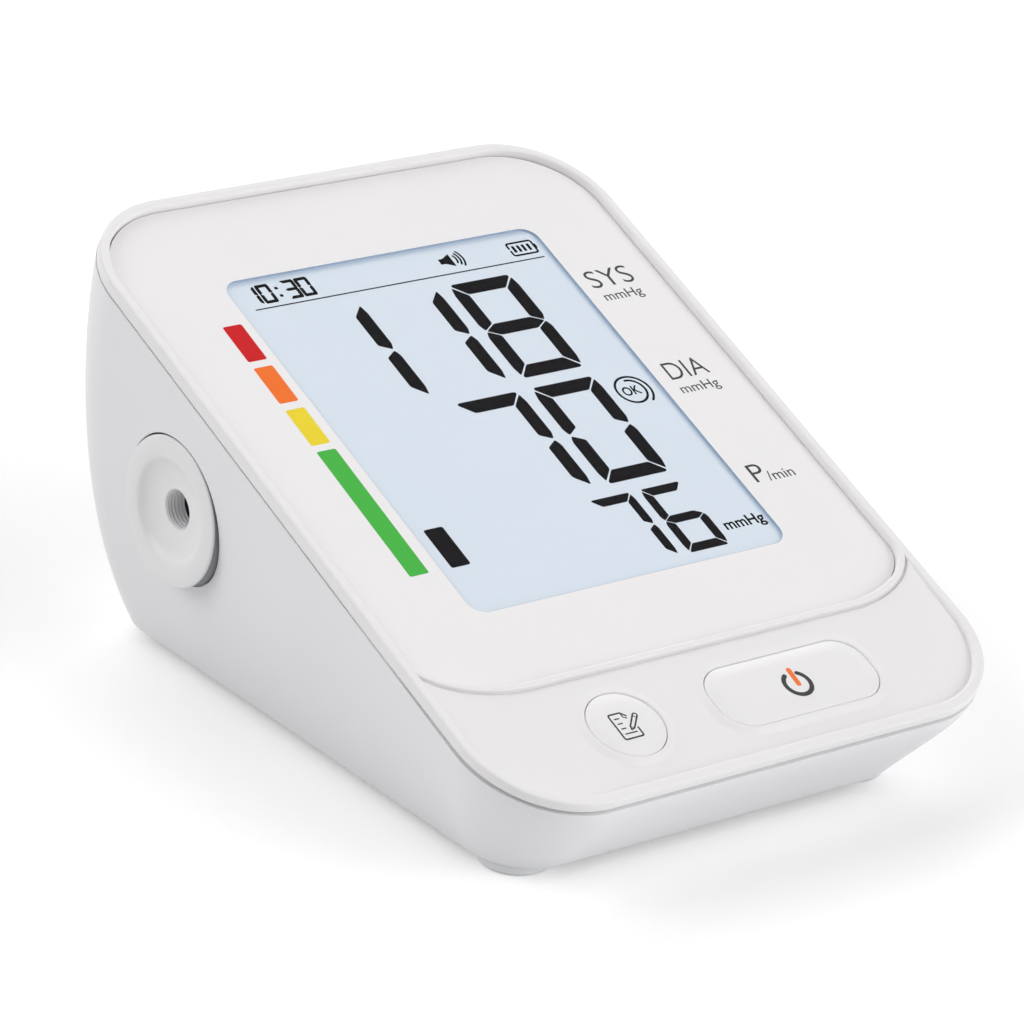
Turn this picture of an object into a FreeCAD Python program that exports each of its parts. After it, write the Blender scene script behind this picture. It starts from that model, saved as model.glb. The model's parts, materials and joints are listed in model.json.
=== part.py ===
import FreeCAD, Part
import math
import os

V = FreeCAD.Vector

# Desk-top talking blood pressure monitor, in millimetres and degrees.
# It is drawn from the middle of the front rim edge: x to the right, y to the back, z up.
# The sloping face has its own frame: x as above, y up the slope, z square to the face, 0 at the rim.
# At the end each piece moves to the final origin, the middle of the underside of its box.

# Whole object
CASE_WIDTH = 100.0
FACE_LENGTH = 137.5
FACE_TILT = 22.0
FACE_CORNER = 17.5
STAND_HEIGHT = 19.0
OVERRUN = 5.0

# Fits
MOVE_GAP = 0.3
SEAT_GAP = 0.1
SHAFT_GAP = 0.05

# Lower case
SEAM_GAP = 0.3
CASE_WALL = 2.2
CASE_FLOOR = 2.4
FRONT_INSET = 12.3
SIDE_INSET = 9.7
BACK_INSET = 6.5
BASE_CORNER = 10.0
BASE_EDGE_RADIUS = 1.2
FRONT_CURVE_POWER = 1.35
BACK_CURVE_POWER = 3.2
BACK_CORNER_STEP = 3.6
BACK_STEP_POWER = 6
SECTION_SHARES = (0.0, 0.08, 0.2, 0.4, 0.6, 0.78, 0.9, 1.0)

# Upper cover
BAND_HEIGHT = 2.2
RIM_SIDE_WIDTH = 1.65
RIM_END_WIDTH = 2.0
RIM_EDGE_RADIUS = 0.6
PLATE_WALL = 1.6
PLUG_INSET = 3.6
RIDGE_START = 24.2
RIDGE_WIDTH = 1.2
RIDGE_CORNER_WIDTH = 17.0
RIDGE_CORNER_LENGTH = 10.0
FIELD_DEPTH = 1.3
FIELD_END = 38.0

# Printed face sheet, window and display
SHEET_DEPTH = 1.4
SHEET_THICK = 1.0
WINDOW_SIDE_MARGIN = 18.7
WINDOW_SIDE_SHIFT = 0.45
WINDOW_START = 40.8
WINDOW_BACK_MARGIN = 19.8
WINDOW_CORNER = 3.0
LENS_MARGIN = 1.5
LENS_THICK = 1.4
GLASS_MARGIN = 0.8
GLASS_THICK = 2.2
LIGHT_THICK = 3.0
TRAY_WALL = 1.4
TRAY_FLOOR = 1.0

# Buttons
MEMORY_SIDE_INSET = 28.9
MEMORY_Y = 13.4
MEMORY_RADIUS = 6.4
BUTTON_SPACE = 10.5
START_SIDE_INSET = 22.8
START_Y = 13.1
START_LENGTH = 12.3
START_CORNER = 5.2
COLLAR_WIDTH = 1.5
COLLAR_HEIGHT = 0.45
BUTTON_PROUD = 0.35
BUTTON_EDGE_RADIUS = 0.6
BUTTON_FLANGE = 0.9
BUTTON_FLANGE_THICK = 0.8
BUTTON_TRAVEL = 0.5

# Key board and its switches
KEY_BOARD_DEPTH = 10.6
KEY_BOARD_MARGIN = 2.5
KEY_BOARD_FRONT = 5.0
KEY_BOARD_BACK = 21.8
BOARD_THICK = 1.6
SWITCH_SIDE = 6.0
SWITCH_HEIGHT = 3.4
PLUNGER_RADIUS = 1.7
PLUNGER_PROUD = 0.8
PLUNGER_SINK = 1.2
KEY_SCREW_SPACE = 6.1
KEY_SCREW_FRONT = 8.2
KEY_SCREW_BACK = 18.6

# Main board and what is on it
MAIN_BOARD_DEPTH = 11.0
BOARD_SCREW_SPACE = 5.6
BOARD_SCREW_FRONT_INSET = 3.2
BOARD_SCREW_BACK_INSET = 10.2
MAIN_BOARD_SIDE_EDGE = 2.8
MAIN_BOARD_END_EDGE = 6.6
BOSS_RADIUS = 2.5
SMALL_SCREW_RADIUS = 0.9
SMALL_SCREW_LENGTH = 6.0
SMALL_HEAD_RADIUS = 1.8
SMALL_HEAD_HEIGHT = 1.2
CHIP_SIDE = 14.0
CHIP_THICK = 1.4
CHIP_X = 14.0
CHIP_Y = 62.0
SENSOR_SIDE = 9.0
SENSOR_HEIGHT = 4.0
SENSOR_X = -21.0
SENSOR_Y = 72.0

# Case screws, posts and feet
FOOT_RADIUS = 5.3
FOOT_HEIGHT = 1.8
FOOT_EDGE_RADIUS = 0.7
FOOT_SIDE_INSET = 16.6
FOOT_FRONT_Y = 21.5
FOOT_WINDOW_OFFSET = 2.1
FOOT_WINDOW_SPACE = 5.5
POST_RADIUS = 4.0
COVER_BOSS_RADIUS = 2.4
SCREW_RADIUS = 1.3
SCREW_LENGTH = 12.0
SCREW_HEAD_RADIUS = 2.4
SCREW_HEAD_HEIGHT = 1.8
SCREW_SEAT = 4.0
FRONT_SPLIT_Z = -6.0
BACK_SPLIT_Z = 20.0

# Battery bay
CELL_RADIUS = 7.1
CELL_LENGTH = 49.2
CELL_NUB_RADIUS = 2.6
CELL_NUB_LENGTH = 1.1
CELL_PITCH = 15.0
CELL_COUNT = 4
BAY_FRONT = 46.0
BAY_WALL = 2.4
BAY_END_ROOM = 3.6
BAY_HEAD_ROOM = 0.6
LID_THICK = 1.7
LID_LEDGE = 1.2
LID_GAP = 0.4
LID_GROOVE_COUNT = 4
LID_GROOVE_LENGTH = 18.0
LID_GROOVE_WIDTH = 1.2
LID_GROOVE_DEPTH = 0.5
LID_GROOVE_PITCH = 2.6
LID_GROOVE_START = 6.0
CONTACT_THICK = 0.4
CONTACT_WIDTH = 10.0
CONTACT_HEIGHT = 11.0
LEAF_REACH = 2.2

# Loudspeaker
SPEAKER_RADIUS = 13.0
SPEAKER_Y = 29.4
SPEAKER_HEIGHT = 4.0
SPEAKER_RING = 2.0
SPEAKER_BACK = 1.2
CONE_THICK = 0.6
CONE_RISE = 2.0
MAGNET_RADIUS = 8.0
MAGNET_HEIGHT = 3.4
SOUND_HOLE_RADIUS = 0.9
SOUND_RING_PITCH = 3.6
SOUND_RING_COUNT = 3
SOUND_HOLES_PER_RING = 6

# Air socket on the left wall
SOCKET_BACK_INSET = 35.3
SOCKET_Z = 13.4
SOCKET_THICK = 3.7
FLANGE_RADIUS = 12.3
FLANGE_EDGE_RADIUS = 0.8
DISH_RADIUS = 8.7
DISH_FLOOR_RADIUS = 4.2
DISH_DEPTH = 1.3
PLUG_BORE_RADIUS = 3.2
PLUG_BORE_LENGTH = 9.0
AIR_BORE_RADIUS = 1.2
BARREL_RADIUS = 6.4
BARREL_LENGTH = 8.8
SEAT_PAD_MARGIN = 2.4
SEAT_PAD_WALL = 2.6
NUT_RADIUS = 9.6
NUT_THICK = 3.0
SEAL_THICK = 1.0
SEAL_WIDTH = 2.2
NUT_SIDES = 6

# Air path, pump and valve
BLOCK_END_MARGIN = 2.4
BLOCK_DEPTH = 7.0
BLOCK_HEIGHT = 8.0
NIPPLE_RADIUS = 1.6
NIPPLE_LENGTH = 2.0
TUBE_WALL = 1.1
PUMP_BACK_INSET = 15.7
PUMP_Z = 15.2
MOTOR_RADIUS = 11.8
MOTOR_START_X = -4.5
MOTOR_LENGTH = 24.0
HEAD_LENGTH = 15.0
HEAD_WALL = 2.0
CRANK_RADIUS = 6.0
CRANK_THICK = 4.0
CRANK_PIN_RADIUS = 1.5
CRANK_PIN_OFFSET = 3.2
CRANK_PIN_LENGTH = 6.0
SHAFT_RADIUS = 1.0
SHAFT_LENGTH = 9.0
VALVE_LENGTH = 20.0
VALVE_SIDE = 12.0
VALVE_X = 8.0
VALVE_BORE = 2.5
VALVE_BORE_DEPTH = 14.0
VALVE_PLUNGER_LENGTH = 11.0
VALVE_STROKE = 1.5

# Places that follow from the sizes above
TAN = math.tan(math.radians(FACE_TILT))
SIN = math.sin(math.radians(FACE_TILT))
COS = math.cos(math.radians(FACE_TILT))
HALF_WIDTH = CASE_WIDTH / 2
FLOOR_Z = -STAND_HEIGHT
BASE_Z = FLOOR_Z + FOOT_HEIGHT
INNER_BASE_Z = BASE_Z + CASE_FLOOR
SEAM_DEPTH = BAND_HEIGHT + SEAM_GAP
SEAM_Y = SEAM_DEPTH * SIN
SEAM_Z = -SEAM_DEPTH * COS
SEAM_LENGTH = FACE_LENGTH * COS
SHEET_BASE = SHEET_DEPTH + SHEET_THICK
PLATE_BASE = SHEET_BASE + PLATE_WALL
WINDOW_HALF = HALF_WIDTH - WINDOW_SIDE_MARGIN
WINDOW_END = FACE_LENGTH - WINDOW_BACK_MARGIN
MEMORY_X = MEMORY_SIDE_INSET - HALF_WIDTH
MEMORY_RIGHT = MEMORY_X + MEMORY_RADIUS
START_LEFT = MEMORY_RIGHT + BUTTON_SPACE
START_RIGHT = HALF_WIDTH - START_SIDE_INSET
START_X = (START_LEFT + START_RIGHT) / 2
START_WIDTH = START_RIGHT - START_LEFT
KEY_SCREW_X = MEMORY_RIGHT + KEY_SCREW_SPACE
KEY_BOARD_LEFT = MEMORY_X - MEMORY_RADIUS - KEY_BOARD_MARGIN
BOARD_SCREW_X = WINDOW_HALF + BOARD_SCREW_SPACE
BOARD_SCREW_FRONT = WINDOW_START + BOARD_SCREW_FRONT_INSET
BOARD_SCREW_BACK = WINDOW_END - BOARD_SCREW_BACK_INSET
FOOT_FRONT_X = HALF_WIDTH - FOOT_SIDE_INSET
FOOT_BACK_X = WINDOW_HALF + FOOT_WINDOW_OFFSET
FOOT_BACK_Y = WINDOW_END * COS + FOOT_WINDOW_SPACE
BAY_BACK = BAY_FRONT + CELL_PITCH * CELL_COUNT
BAY_HALF = CELL_LENGTH / 2 + BAY_END_ROOM
BAY_BASE_Z = BASE_Z + LID_THICK + MOVE_GAP
CELL_Z = BAY_BASE_Z + CELL_RADIUS + MOVE_GAP
BAY_TOP_Z = CELL_Z + CELL_RADIUS + BAY_HEAD_ROOM
BAY_ROOF_Z = BAY_TOP_Z + BAY_WALL
DEPTH = SEAM_LENGTH + SEAM_Y
SOCKET_FACE_X = -HALF_WIDTH
SOCKET_SEAT_X = SOCKET_FACE_X + SOCKET_THICK
SOCKET_Y = DEPTH - SOCKET_BACK_INSET
BARREL_END_X = SOCKET_SEAT_X + BARREL_LENGTH
PUMP_Y = DEPTH - PUMP_BACK_INSET


# Shape helpers

def box(x0, x1, y0, y1, z0, z1):
    return Part.makeBox(x1 - x0, y1 - y0, z1 - z0, V(x0, y0, z0))


def rod(x, y, z, radius, length, direction):
    return Part.makeCylinder(radius, length, V(x, y, z), direction)


def rounded_wire(corners, radii, z):
    """Closed outline through the corner points, each rounded by a tangent arc, at height z."""
    starts = []
    mids = []
    ends = []
    count = len(corners)
    for i in range(count):
        corner = V(corners[i][0], corners[i][1], z)
        before = V(corners[i - 1][0], corners[i - 1][1], z) - corner
        after = V(corners[(i + 1) % count][0], corners[(i + 1) % count][1], z) - corner
        before.normalize()
        after.normalize()
        half = before.getAngle(after) / 2
        reach = radii[i] / math.tan(half)
        bisector = before + after
        bisector.normalize()
        starts.append(corner + before * reach)
        mids.append(corner + bisector * (radii[i] / math.sin(half) - radii[i]))
        ends.append(corner + after * reach)
    edges = []
    for i in range(count):
        edges.append(Part.Arc(starts[i], mids[i], ends[i]).toShape())
        edges.append(Part.LineSegment(ends[i], starts[(i + 1) % count]).toShape())
    return Part.Wire(edges)


def rectangle_wire(x0, x1, y0, y1, radii, z):
    corners = [(x0, y0), (x1, y0), (x1, y1), (x0, y1)]
    return rounded_wire(corners, radii, z)


def rounded_plate(x0, x1, y0, y1, radii, z0, z1):
    face = Part.Face(rectangle_wire(x0, x1, y0, y1, radii, z0))
    return face.extrude(V(0, 0, z1 - z0))


def even(radius):
    return [radius] * 4


def on_face(shape):
    """Turns a shape drawn in the sloping face's frame into place."""
    shape.rotate(V(0, 0, 0), V(1, 0, 0), FACE_TILT)
    return shape


def top_edges(shape, z):
    """Edges of a shape that lie wholly at height z."""
    return [e for e in shape.Edges if abs(e.BoundBox.ZMin - z) < SHAFT_GAP
            and abs(e.BoundBox.ZMax - z) < SHAFT_GAP]


def hollow_rod(x, y, z, radius, bore, length, direction):
    outer = rod(x, y, z, radius, length, direction)
    along = V(direction)
    along.normalize()
    start = V(x, y, z) - along * OVERRUN
    return outer.cut(Part.makeCylinder(bore, length + 2 * OVERRUN, start, direction))


FOOT_PLACES = [(FOOT_FRONT_X, FOOT_FRONT_Y, FRONT_SPLIT_Z), (-FOOT_FRONT_X, FOOT_FRONT_Y, FRONT_SPLIT_Z),
               (FOOT_BACK_X, FOOT_BACK_Y, BACK_SPLIT_Z), (-FOOT_BACK_X, FOOT_BACK_Y, BACK_SPLIT_Z)]
BOARD_SCREW_PLACES = [(x, y) for x in (-BOARD_SCREW_X, BOARD_SCREW_X)
                      for y in (BOARD_SCREW_FRONT, BOARD_SCREW_BACK)]
KEY_SCREW_PLACES = [(KEY_SCREW_X, KEY_SCREW_FRONT), (KEY_SCREW_X, KEY_SCREW_BACK)]


# Lower case: a tapering tub between the sloping seam and the flat base.
# Its sections lie on planes that all pass through the line where seam and base would meet.

def tub(wall, base_z, top_share):
    line_y = SEAM_Y + (base_z - SEAM_Z) / TAN
    drop_front = (SEAM_Z - base_z) / (SEAM_Z - BASE_Z)
    back_z = SEAM_Z + SEAM_LENGTH * TAN
    drop_back = (back_z - base_z) / (back_z - BASE_Z)
    wires = []
    for share in (top_share,) + SECTION_SHARES[1:]:
        reach = max(share, 0.0)
        front = (reach * drop_front) ** FRONT_CURVE_POWER
        back = (reach * drop_back) ** BACK_CURVE_POWER
        step = BACK_CORNER_STEP * (1 - (1 - reach * drop_back) ** BACK_STEP_POWER)
        slope = math.atan((1 - share) * TAN)
        y0 = (SEAM_Y + FRONT_INSET * front + wall - line_y) / math.cos(slope)
        y1 = (SEAM_Y + SEAM_LENGTH - BACK_INSET * back - wall - line_y) / math.cos(slope)
        x0 = HALF_WIDTH - SIDE_INSET * front - wall
        x1 = HALF_WIDTH - SIDE_INSET * back - wall
        front_corner = FACE_CORNER + (BASE_CORNER - FACE_CORNER) * front - wall
        back_corner = FACE_CORNER - step + (BASE_CORNER - FACE_CORNER + BACK_CORNER_STEP) * back - wall
        corners = [(-x0, y0), (x0, y0), (x1, y1), (-x1, y1)]
        radii = [front_corner, front_corner, back_corner, back_corner]
        wire = rounded_wire(corners, radii, 0)
        wire.rotate(V(0, 0, 0), V(1, 0, 0), math.degrees(slope))
        wire.translate(V(0, line_y, base_z))
        wires.append(wire)
    return Part.makeLoft(wires, True, False)


def make_lower_case():
    outer = tub(0, BASE_Z, SECTION_SHARES[0])
    rim_edges = [e for e in outer.Edges if e.BoundBox.ZMax < BASE_Z + SHAFT_GAP]
    outer = outer.makeFillet(BASE_EDGE_RADIUS, rim_edges)
    inner_share = -SEAM_GAP / STAND_HEIGHT
    case = outer.cut(tub(CASE_WALL, INNER_BASE_Z, inner_share))
    bay = box(-BAY_HALF - BAY_WALL, BAY_HALF + BAY_WALL, BAY_FRONT - BAY_WALL, BAY_BACK + BAY_WALL,
              BASE_Z, BAY_ROOF_Z)
    case = case.fuse(bay)
    for x, y, split in FOOT_PLACES:
        case = case.fuse(rod(x, y, BASE_Z, POST_RADIUS, split - BASE_Z, V(0, 0, 1)).common(outer))
    pad = rod(SOCKET_FACE_X, SOCKET_Y, SOCKET_Z, FLANGE_RADIUS + SEAT_PAD_MARGIN,
              SOCKET_THICK + SEAT_PAD_WALL, V(1, 0, 0))
    case = case.fuse(pad.common(outer))
    case = case.cut(box(-BAY_HALF, BAY_HALF, BAY_FRONT, BAY_BACK, BASE_Z - OVERRUN, BAY_TOP_Z))
    case = case.cut(box(-BAY_HALF - LID_LEDGE, BAY_HALF + LID_LEDGE, BAY_FRONT - LID_LEDGE,
                        BAY_BACK + LID_LEDGE, BASE_Z - OVERRUN, BAY_BASE_Z))
    for x, y, split in FOOT_PLACES:
        seat = split - SCREW_SEAT
        case = case.cut(rod(x, y, BASE_Z - OVERRUN, SCREW_HEAD_RADIUS + MOVE_GAP,
                            seat - BASE_Z + OVERRUN, V(0, 0, 1)))
        case = case.cut(rod(x, y, seat, SCREW_RADIUS + MOVE_GAP, SCREW_SEAT + OVERRUN, V(0, 0, 1)))
    case = case.cut(rod(SOCKET_SEAT_X, SOCKET_Y, SOCKET_Z, FLANGE_RADIUS + MOVE_GAP,
                        SOCKET_THICK + OVERRUN, V(-1, 0, 0)))
    case = case.cut(rod(SOCKET_SEAT_X - OVERRUN, SOCKET_Y, SOCKET_Z, BARREL_RADIUS + SEAT_GAP,
                        SEAT_PAD_WALL + 2 * OVERRUN, V(1, 0, 0)))
    for x, y in sound_holes():
        case = case.cut(rod(x, y, BASE_Z - OVERRUN, SOUND_HOLE_RADIUS, CASE_FLOOR + 2 * OVERRUN, V(0, 0, 1)))
    return case.removeSplitter()


def sound_holes():
    places = [(0, SPEAKER_Y)]
    for ring in range(1, SOUND_RING_COUNT):
        count = SOUND_HOLES_PER_RING * ring
        for i in range(count):
            turn = 2 * math.pi * i / count
            reach = SOUND_RING_PITCH * ring
            places.append((reach * math.cos(turn), SPEAKER_Y + reach * math.sin(turn)))
    return places


# Upper cover: rim, side band, recess for the face sheet, sloping button field and its raised collars

def sheet_plate(margin, z0, z1):
    """Plate of the face sheet's outline, grown by a margin: oval corners in front, round ones behind."""
    x = HALF_WIDTH - RIM_SIDE_WIDTH + margin
    y0 = RIDGE_START + RIDGE_WIDTH - margin
    y1 = FACE_LENGTH - RIM_END_WIDTH + margin
    wide = RIDGE_CORNER_WIDTH + margin
    low = y0 + RIDGE_CORNER_LENGTH + margin
    round_back = FACE_CORNER - RIM_SIDE_WIDTH + margin
    high = y1 - round_back
    edges = []
    for side, turns in ((-1, (2, 3)), (1, (3, 4))):
        oval = Part.Ellipse(V(side * (x - wide), low, z0), wide, low - y0)
        edges.append(Part.ArcOfEllipse(oval, turns[0] * math.pi / 2, turns[1] * math.pi / 2))
    for side, turns in ((1, (0, 1)), (-1, (1, 2))):
        ring = Part.Circle(V(side * (x - round_back), high, z0), V(0, 0, 1), round_back)
        edges.append(Part.ArcOfCircle(ring, turns[0] * math.pi / 2, turns[1] * math.pi / 2))
    edges.append(Part.LineSegment(V(wide - x, y0, z0), V(x - wide, y0, z0)))
    edges.append(Part.LineSegment(V(round_back - x, y1, z0), V(x - round_back, y1, z0)))
    for side in (-1, 1):
        edges.append(Part.LineSegment(V(side * x, low, z0), V(side * x, high, z0)))
    wire = Part.Wire(Part.__sortEdges__([e.toShape() for e in edges]))
    return Part.Face(wire).extrude(V(0, 0, z1 - z0))


def start_plate(margin, z0, z1):
    x = START_WIDTH / 2 + margin
    y = START_LENGTH / 2 + margin
    return rounded_plate(START_X - x, START_X + x, START_Y - y, START_Y + y,
                         even(START_CORNER + margin), z0, z1)


def start_wire(margin, z):
    x = START_WIDTH / 2 + margin
    y = START_LENGTH / 2 + margin
    return rectangle_wire(START_X - x, START_X + x, START_Y - y, START_Y + y,
                          even(START_CORNER + margin), z)


def field_depth(y):
    """Depth of the button field below the rim, which fades out up the slope."""
    return FIELD_DEPTH * (FIELD_END - y) / (FIELD_END - RIM_END_WIDTH)


def make_upper_cover():
    cover = rounded_plate(-HALF_WIDTH, HALF_WIDTH, 0, FACE_LENGTH, even(FACE_CORNER), -BAND_HEIGHT, 0)
    cover = cover.makeFillet(RIM_EDGE_RADIUS, top_edges(cover, 0))
    plug_x = HALF_WIDTH - PLUG_INSET
    cover = cover.fuse(rounded_plate(-plug_x, plug_x, PLUG_INSET, FACE_LENGTH - PLUG_INSET,
                                     even(FACE_CORNER - PLUG_INSET), -PLATE_BASE, -BAND_HEIGHT))
    cover = cover.cut(sheet_plate(0, -SHEET_BASE, OVERRUN))
    cover = cover.cut(make_field_cutter())
    collar_top = -field_depth(MEMORY_Y) + COLLAR_HEIGHT
    collar_foot = -field_depth(MEMORY_Y - MEMORY_RADIUS) - SEAT_GAP
    cover = cover.fuse(Part.makeCone(MEMORY_RADIUS + COLLAR_WIDTH, MEMORY_RADIUS + MOVE_GAP,
                                     collar_top - collar_foot, V(MEMORY_X, MEMORY_Y, collar_foot)))
    cover = cover.fuse(Part.makeLoft([start_wire(COLLAR_WIDTH, collar_foot),
                                      start_wire(MOVE_GAP, collar_top)], True, True))
    cover = cover.cut(rod(MEMORY_X, MEMORY_Y, -PLATE_BASE - OVERRUN, MEMORY_RADIUS + MOVE_GAP,
                          PLATE_BASE + 2 * OVERRUN, V(0, 0, 1)))
    cover = cover.cut(start_plate(MOVE_GAP, -PLATE_BASE - OVERRUN, OVERRUN))
    flange = BUTTON_FLANGE + 2 * MOVE_GAP
    flange_top = button_flange_top() + MOVE_GAP
    cover = cover.cut(rod(MEMORY_X, MEMORY_Y, -PLATE_BASE - OVERRUN, MEMORY_RADIUS + flange,
                          flange_top + PLATE_BASE + OVERRUN, V(0, 0, 1)))
    cover = cover.cut(start_plate(flange, -PLATE_BASE - OVERRUN, flange_top))
    lens = LENS_MARGIN + SEAT_GAP
    cover = cover.cut(window_plate(lens, -PLATE_BASE - OVERRUN, 0))
    for x, y in BOARD_SCREW_PLACES:
        cover = cover.fuse(rod(x, y, -MAIN_BOARD_DEPTH, BOSS_RADIUS,
                               MAIN_BOARD_DEPTH - SHEET_BASE - SEAT_GAP, V(0, 0, 1)))
        cover = cover.cut(rod(x, y, -MAIN_BOARD_DEPTH - OVERRUN, SMALL_SCREW_RADIUS + SHAFT_GAP,
                              SMALL_SCREW_LENGTH + OVERRUN, V(0, 0, 1)))
    for x, y in KEY_SCREW_PLACES:
        cover = cover.fuse(rod(x, y, -KEY_BOARD_DEPTH, BOSS_RADIUS, KEY_BOARD_DEPTH - SHEET_BASE,
                               V(0, 0, 1)))
        cover = cover.cut(rod(x, y, -KEY_BOARD_DEPTH - OVERRUN, SMALL_SCREW_RADIUS + SHAFT_GAP,
                              SMALL_SCREW_LENGTH + OVERRUN, V(0, 0, 1)))
    cover = on_face(cover)
    below = on_face(box(-CASE_WIDTH, CASE_WIDTH, -CASE_WIDTH, FACE_LENGTH, -CASE_WIDTH,
                        -SHEET_BASE - SEAT_GAP))
    for x, y, split in FOOT_PLACES:
        boss = rod(x, y, split + MOVE_GAP, COVER_BOSS_RADIUS, FACE_LENGTH, V(0, 0, 1)).common(below)
        cover = cover.fuse(boss)
        cover = cover.cut(rod(x, y, split - OVERRUN, SCREW_RADIUS + SHAFT_GAP,
                              SCREW_LENGTH - SCREW_SEAT + 2 * MOVE_GAP + OVERRUN, V(0, 0, 1)))
    return cover.removeSplitter()


def make_field_cutter():
    x = HALF_WIDTH - RIM_SIDE_WIDTH
    corner = FACE_CORNER - RIM_SIDE_WIDTH
    area = rounded_plate(-x, x, RIM_END_WIDTH, FIELD_END + corner, even(corner), -FIELD_DEPTH, OVERRUN)
    wedge = Part.Face(Part.makePolygon([
        V(-x, RIM_END_WIDTH, -FIELD_DEPTH), V(-x, FIELD_END, 0), V(-x, FIELD_END, OVERRUN),
        V(-x, RIM_END_WIDTH, OVERRUN), V(-x, RIM_END_WIDTH, -FIELD_DEPTH)]))
    ridge = sheet_plate(RIDGE_WIDTH, -FIELD_DEPTH, OVERRUN)
    return area.common(wedge.extrude(V(2 * x, 0, 0))).cut(ridge)


def window_plate(margin, z0, z1):
    x = WINDOW_HALF + margin
    return rounded_plate(WINDOW_SIDE_SHIFT - x, WINDOW_SIDE_SHIFT + x, WINDOW_START - margin,
                         WINDOW_END + margin, even(WINDOW_CORNER + margin), z0, z1)


def make_display_panel():
    sheet = sheet_plate(-SEAT_GAP, -SHEET_BASE, -SHEET_DEPTH)
    return on_face(sheet.cut(window_plate(0, -SHEET_BASE - OVERRUN, OVERRUN)))


def make_display_window():
    return on_face(window_plate(LENS_MARGIN, -SHEET_BASE - LENS_THICK, -SHEET_BASE))


GLASS_TOP = SHEET_BASE + LENS_THICK + SEAT_GAP
LIGHT_TOP = GLASS_TOP + GLASS_THICK
TRAY_TOP = PLATE_BASE + SEAT_GAP


def make_lcd_panel():
    return on_face(window_plate(GLASS_MARGIN, -LIGHT_TOP, -GLASS_TOP))


def make_lcd_backlight():
    return on_face(window_plate(GLASS_MARGIN, -LIGHT_TOP - LIGHT_THICK, -LIGHT_TOP))


def make_lcd_frame():
    tray = window_plate(GLASS_MARGIN + SEAT_GAP + TRAY_WALL, -MAIN_BOARD_DEPTH, -TRAY_TOP)
    tray = tray.cut(window_plate(GLASS_MARGIN + SEAT_GAP, -LIGHT_TOP - LIGHT_THICK, OVERRUN))
    tray = on_face(tray.cut(window_plate(-TRAY_WALL, -MAIN_BOARD_DEPTH - OVERRUN,
                                         -LIGHT_TOP - LIGHT_THICK - TRAY_FLOOR)))
    for x, y, split in FOOT_PLACES:
        tray = tray.cut(rod(x, y, split, COVER_BOSS_RADIUS + MOVE_GAP, FACE_LENGTH, V(0, 0, 1)))
    return tray


# Buttons: caps with a flange below the cover, and a stem down to the switch

def button_flange_top():
    return -PLATE_BASE + BUTTON_FLANGE_THICK


def button_top():
    return -field_depth(MEMORY_Y) + BUTTON_PROUD


def stem_foot():
    return -KEY_BOARD_DEPTH + SWITCH_HEIGHT + PLUNGER_PROUD


def finish_button(cap, flange, x, y):
    stem = rod(x, y, stem_foot(), PLUNGER_RADIUS, -PLATE_BASE - stem_foot() + SEAT_GAP, V(0, 0, 1))
    return on_face(cap.fuse(flange).fuse(stem).removeSplitter())


def make_memory_button():
    top = button_top()
    cap = rod(MEMORY_X, MEMORY_Y, -PLATE_BASE, MEMORY_RADIUS, top + PLATE_BASE, V(0, 0, 1))
    cap = cap.makeFillet(BUTTON_EDGE_RADIUS, top_edges(cap, top))
    flange = rod(MEMORY_X, MEMORY_Y, -PLATE_BASE, MEMORY_RADIUS + BUTTON_FLANGE, BUTTON_FLANGE_THICK,
                 V(0, 0, 1))
    return finish_button(cap, flange, MEMORY_X, MEMORY_Y)


def make_start_button():
    top = button_top()
    cap = start_plate(0, -PLATE_BASE, top)
    cap = cap.makeFillet(BUTTON_EDGE_RADIUS, top_edges(cap, top))
    flange = start_plate(BUTTON_FLANGE, -PLATE_BASE, button_flange_top())
    return finish_button(cap, flange, START_X, START_Y)


def make_switch(x, y):
    half = SWITCH_SIDE / 2
    body = box(x - half, x + half, y - half, y + half, -KEY_BOARD_DEPTH, -KEY_BOARD_DEPTH + SWITCH_HEIGHT)
    depth = PLUNGER_SINK + BUTTON_TRAVEL + MOVE_GAP
    return on_face(body.cut(rod(x, y, -KEY_BOARD_DEPTH + SWITCH_HEIGHT - depth, PLUNGER_RADIUS + SHAFT_GAP,
                                depth + OVERRUN, V(0, 0, 1))))


def make_plunger(x, y):
    return on_face(rod(x, y, -KEY_BOARD_DEPTH + SWITCH_HEIGHT - PLUNGER_SINK, PLUNGER_RADIUS,
                       PLUNGER_SINK + PLUNGER_PROUD, V(0, 0, 1)))


# Boards, chips and their screws

SENSOR_BACK = SENSOR_Y + SENSOR_SIDE / 2
SENSOR_AXIS = MAIN_BOARD_DEPTH + BOARD_THICK + NIPPLE_RADIUS + TUBE_WALL + MOVE_GAP


def board(x0, x1, y0, y1, depth, places):
    sheet = box(x0, x1, y0, y1, -depth - BOARD_THICK, -depth)
    for x, y in places:
        sheet = sheet.cut(rod(x, y, -depth - BOARD_THICK - OVERRUN, SMALL_SCREW_RADIUS + SHAFT_GAP,
                              BOARD_THICK + 2 * OVERRUN, V(0, 0, 1)))
    return on_face(sheet)


def make_main_board():
    half = BOARD_SCREW_X + MAIN_BOARD_SIDE_EDGE
    return board(-half, half, BOARD_SCREW_FRONT - MAIN_BOARD_END_EDGE,
                 BOARD_SCREW_BACK + MAIN_BOARD_END_EDGE, MAIN_BOARD_DEPTH, BOARD_SCREW_PLACES)


def make_key_board():
    return board(KEY_BOARD_LEFT, START_RIGHT, KEY_BOARD_FRONT, KEY_BOARD_BACK, KEY_BOARD_DEPTH,
                 KEY_SCREW_PLACES)


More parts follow.
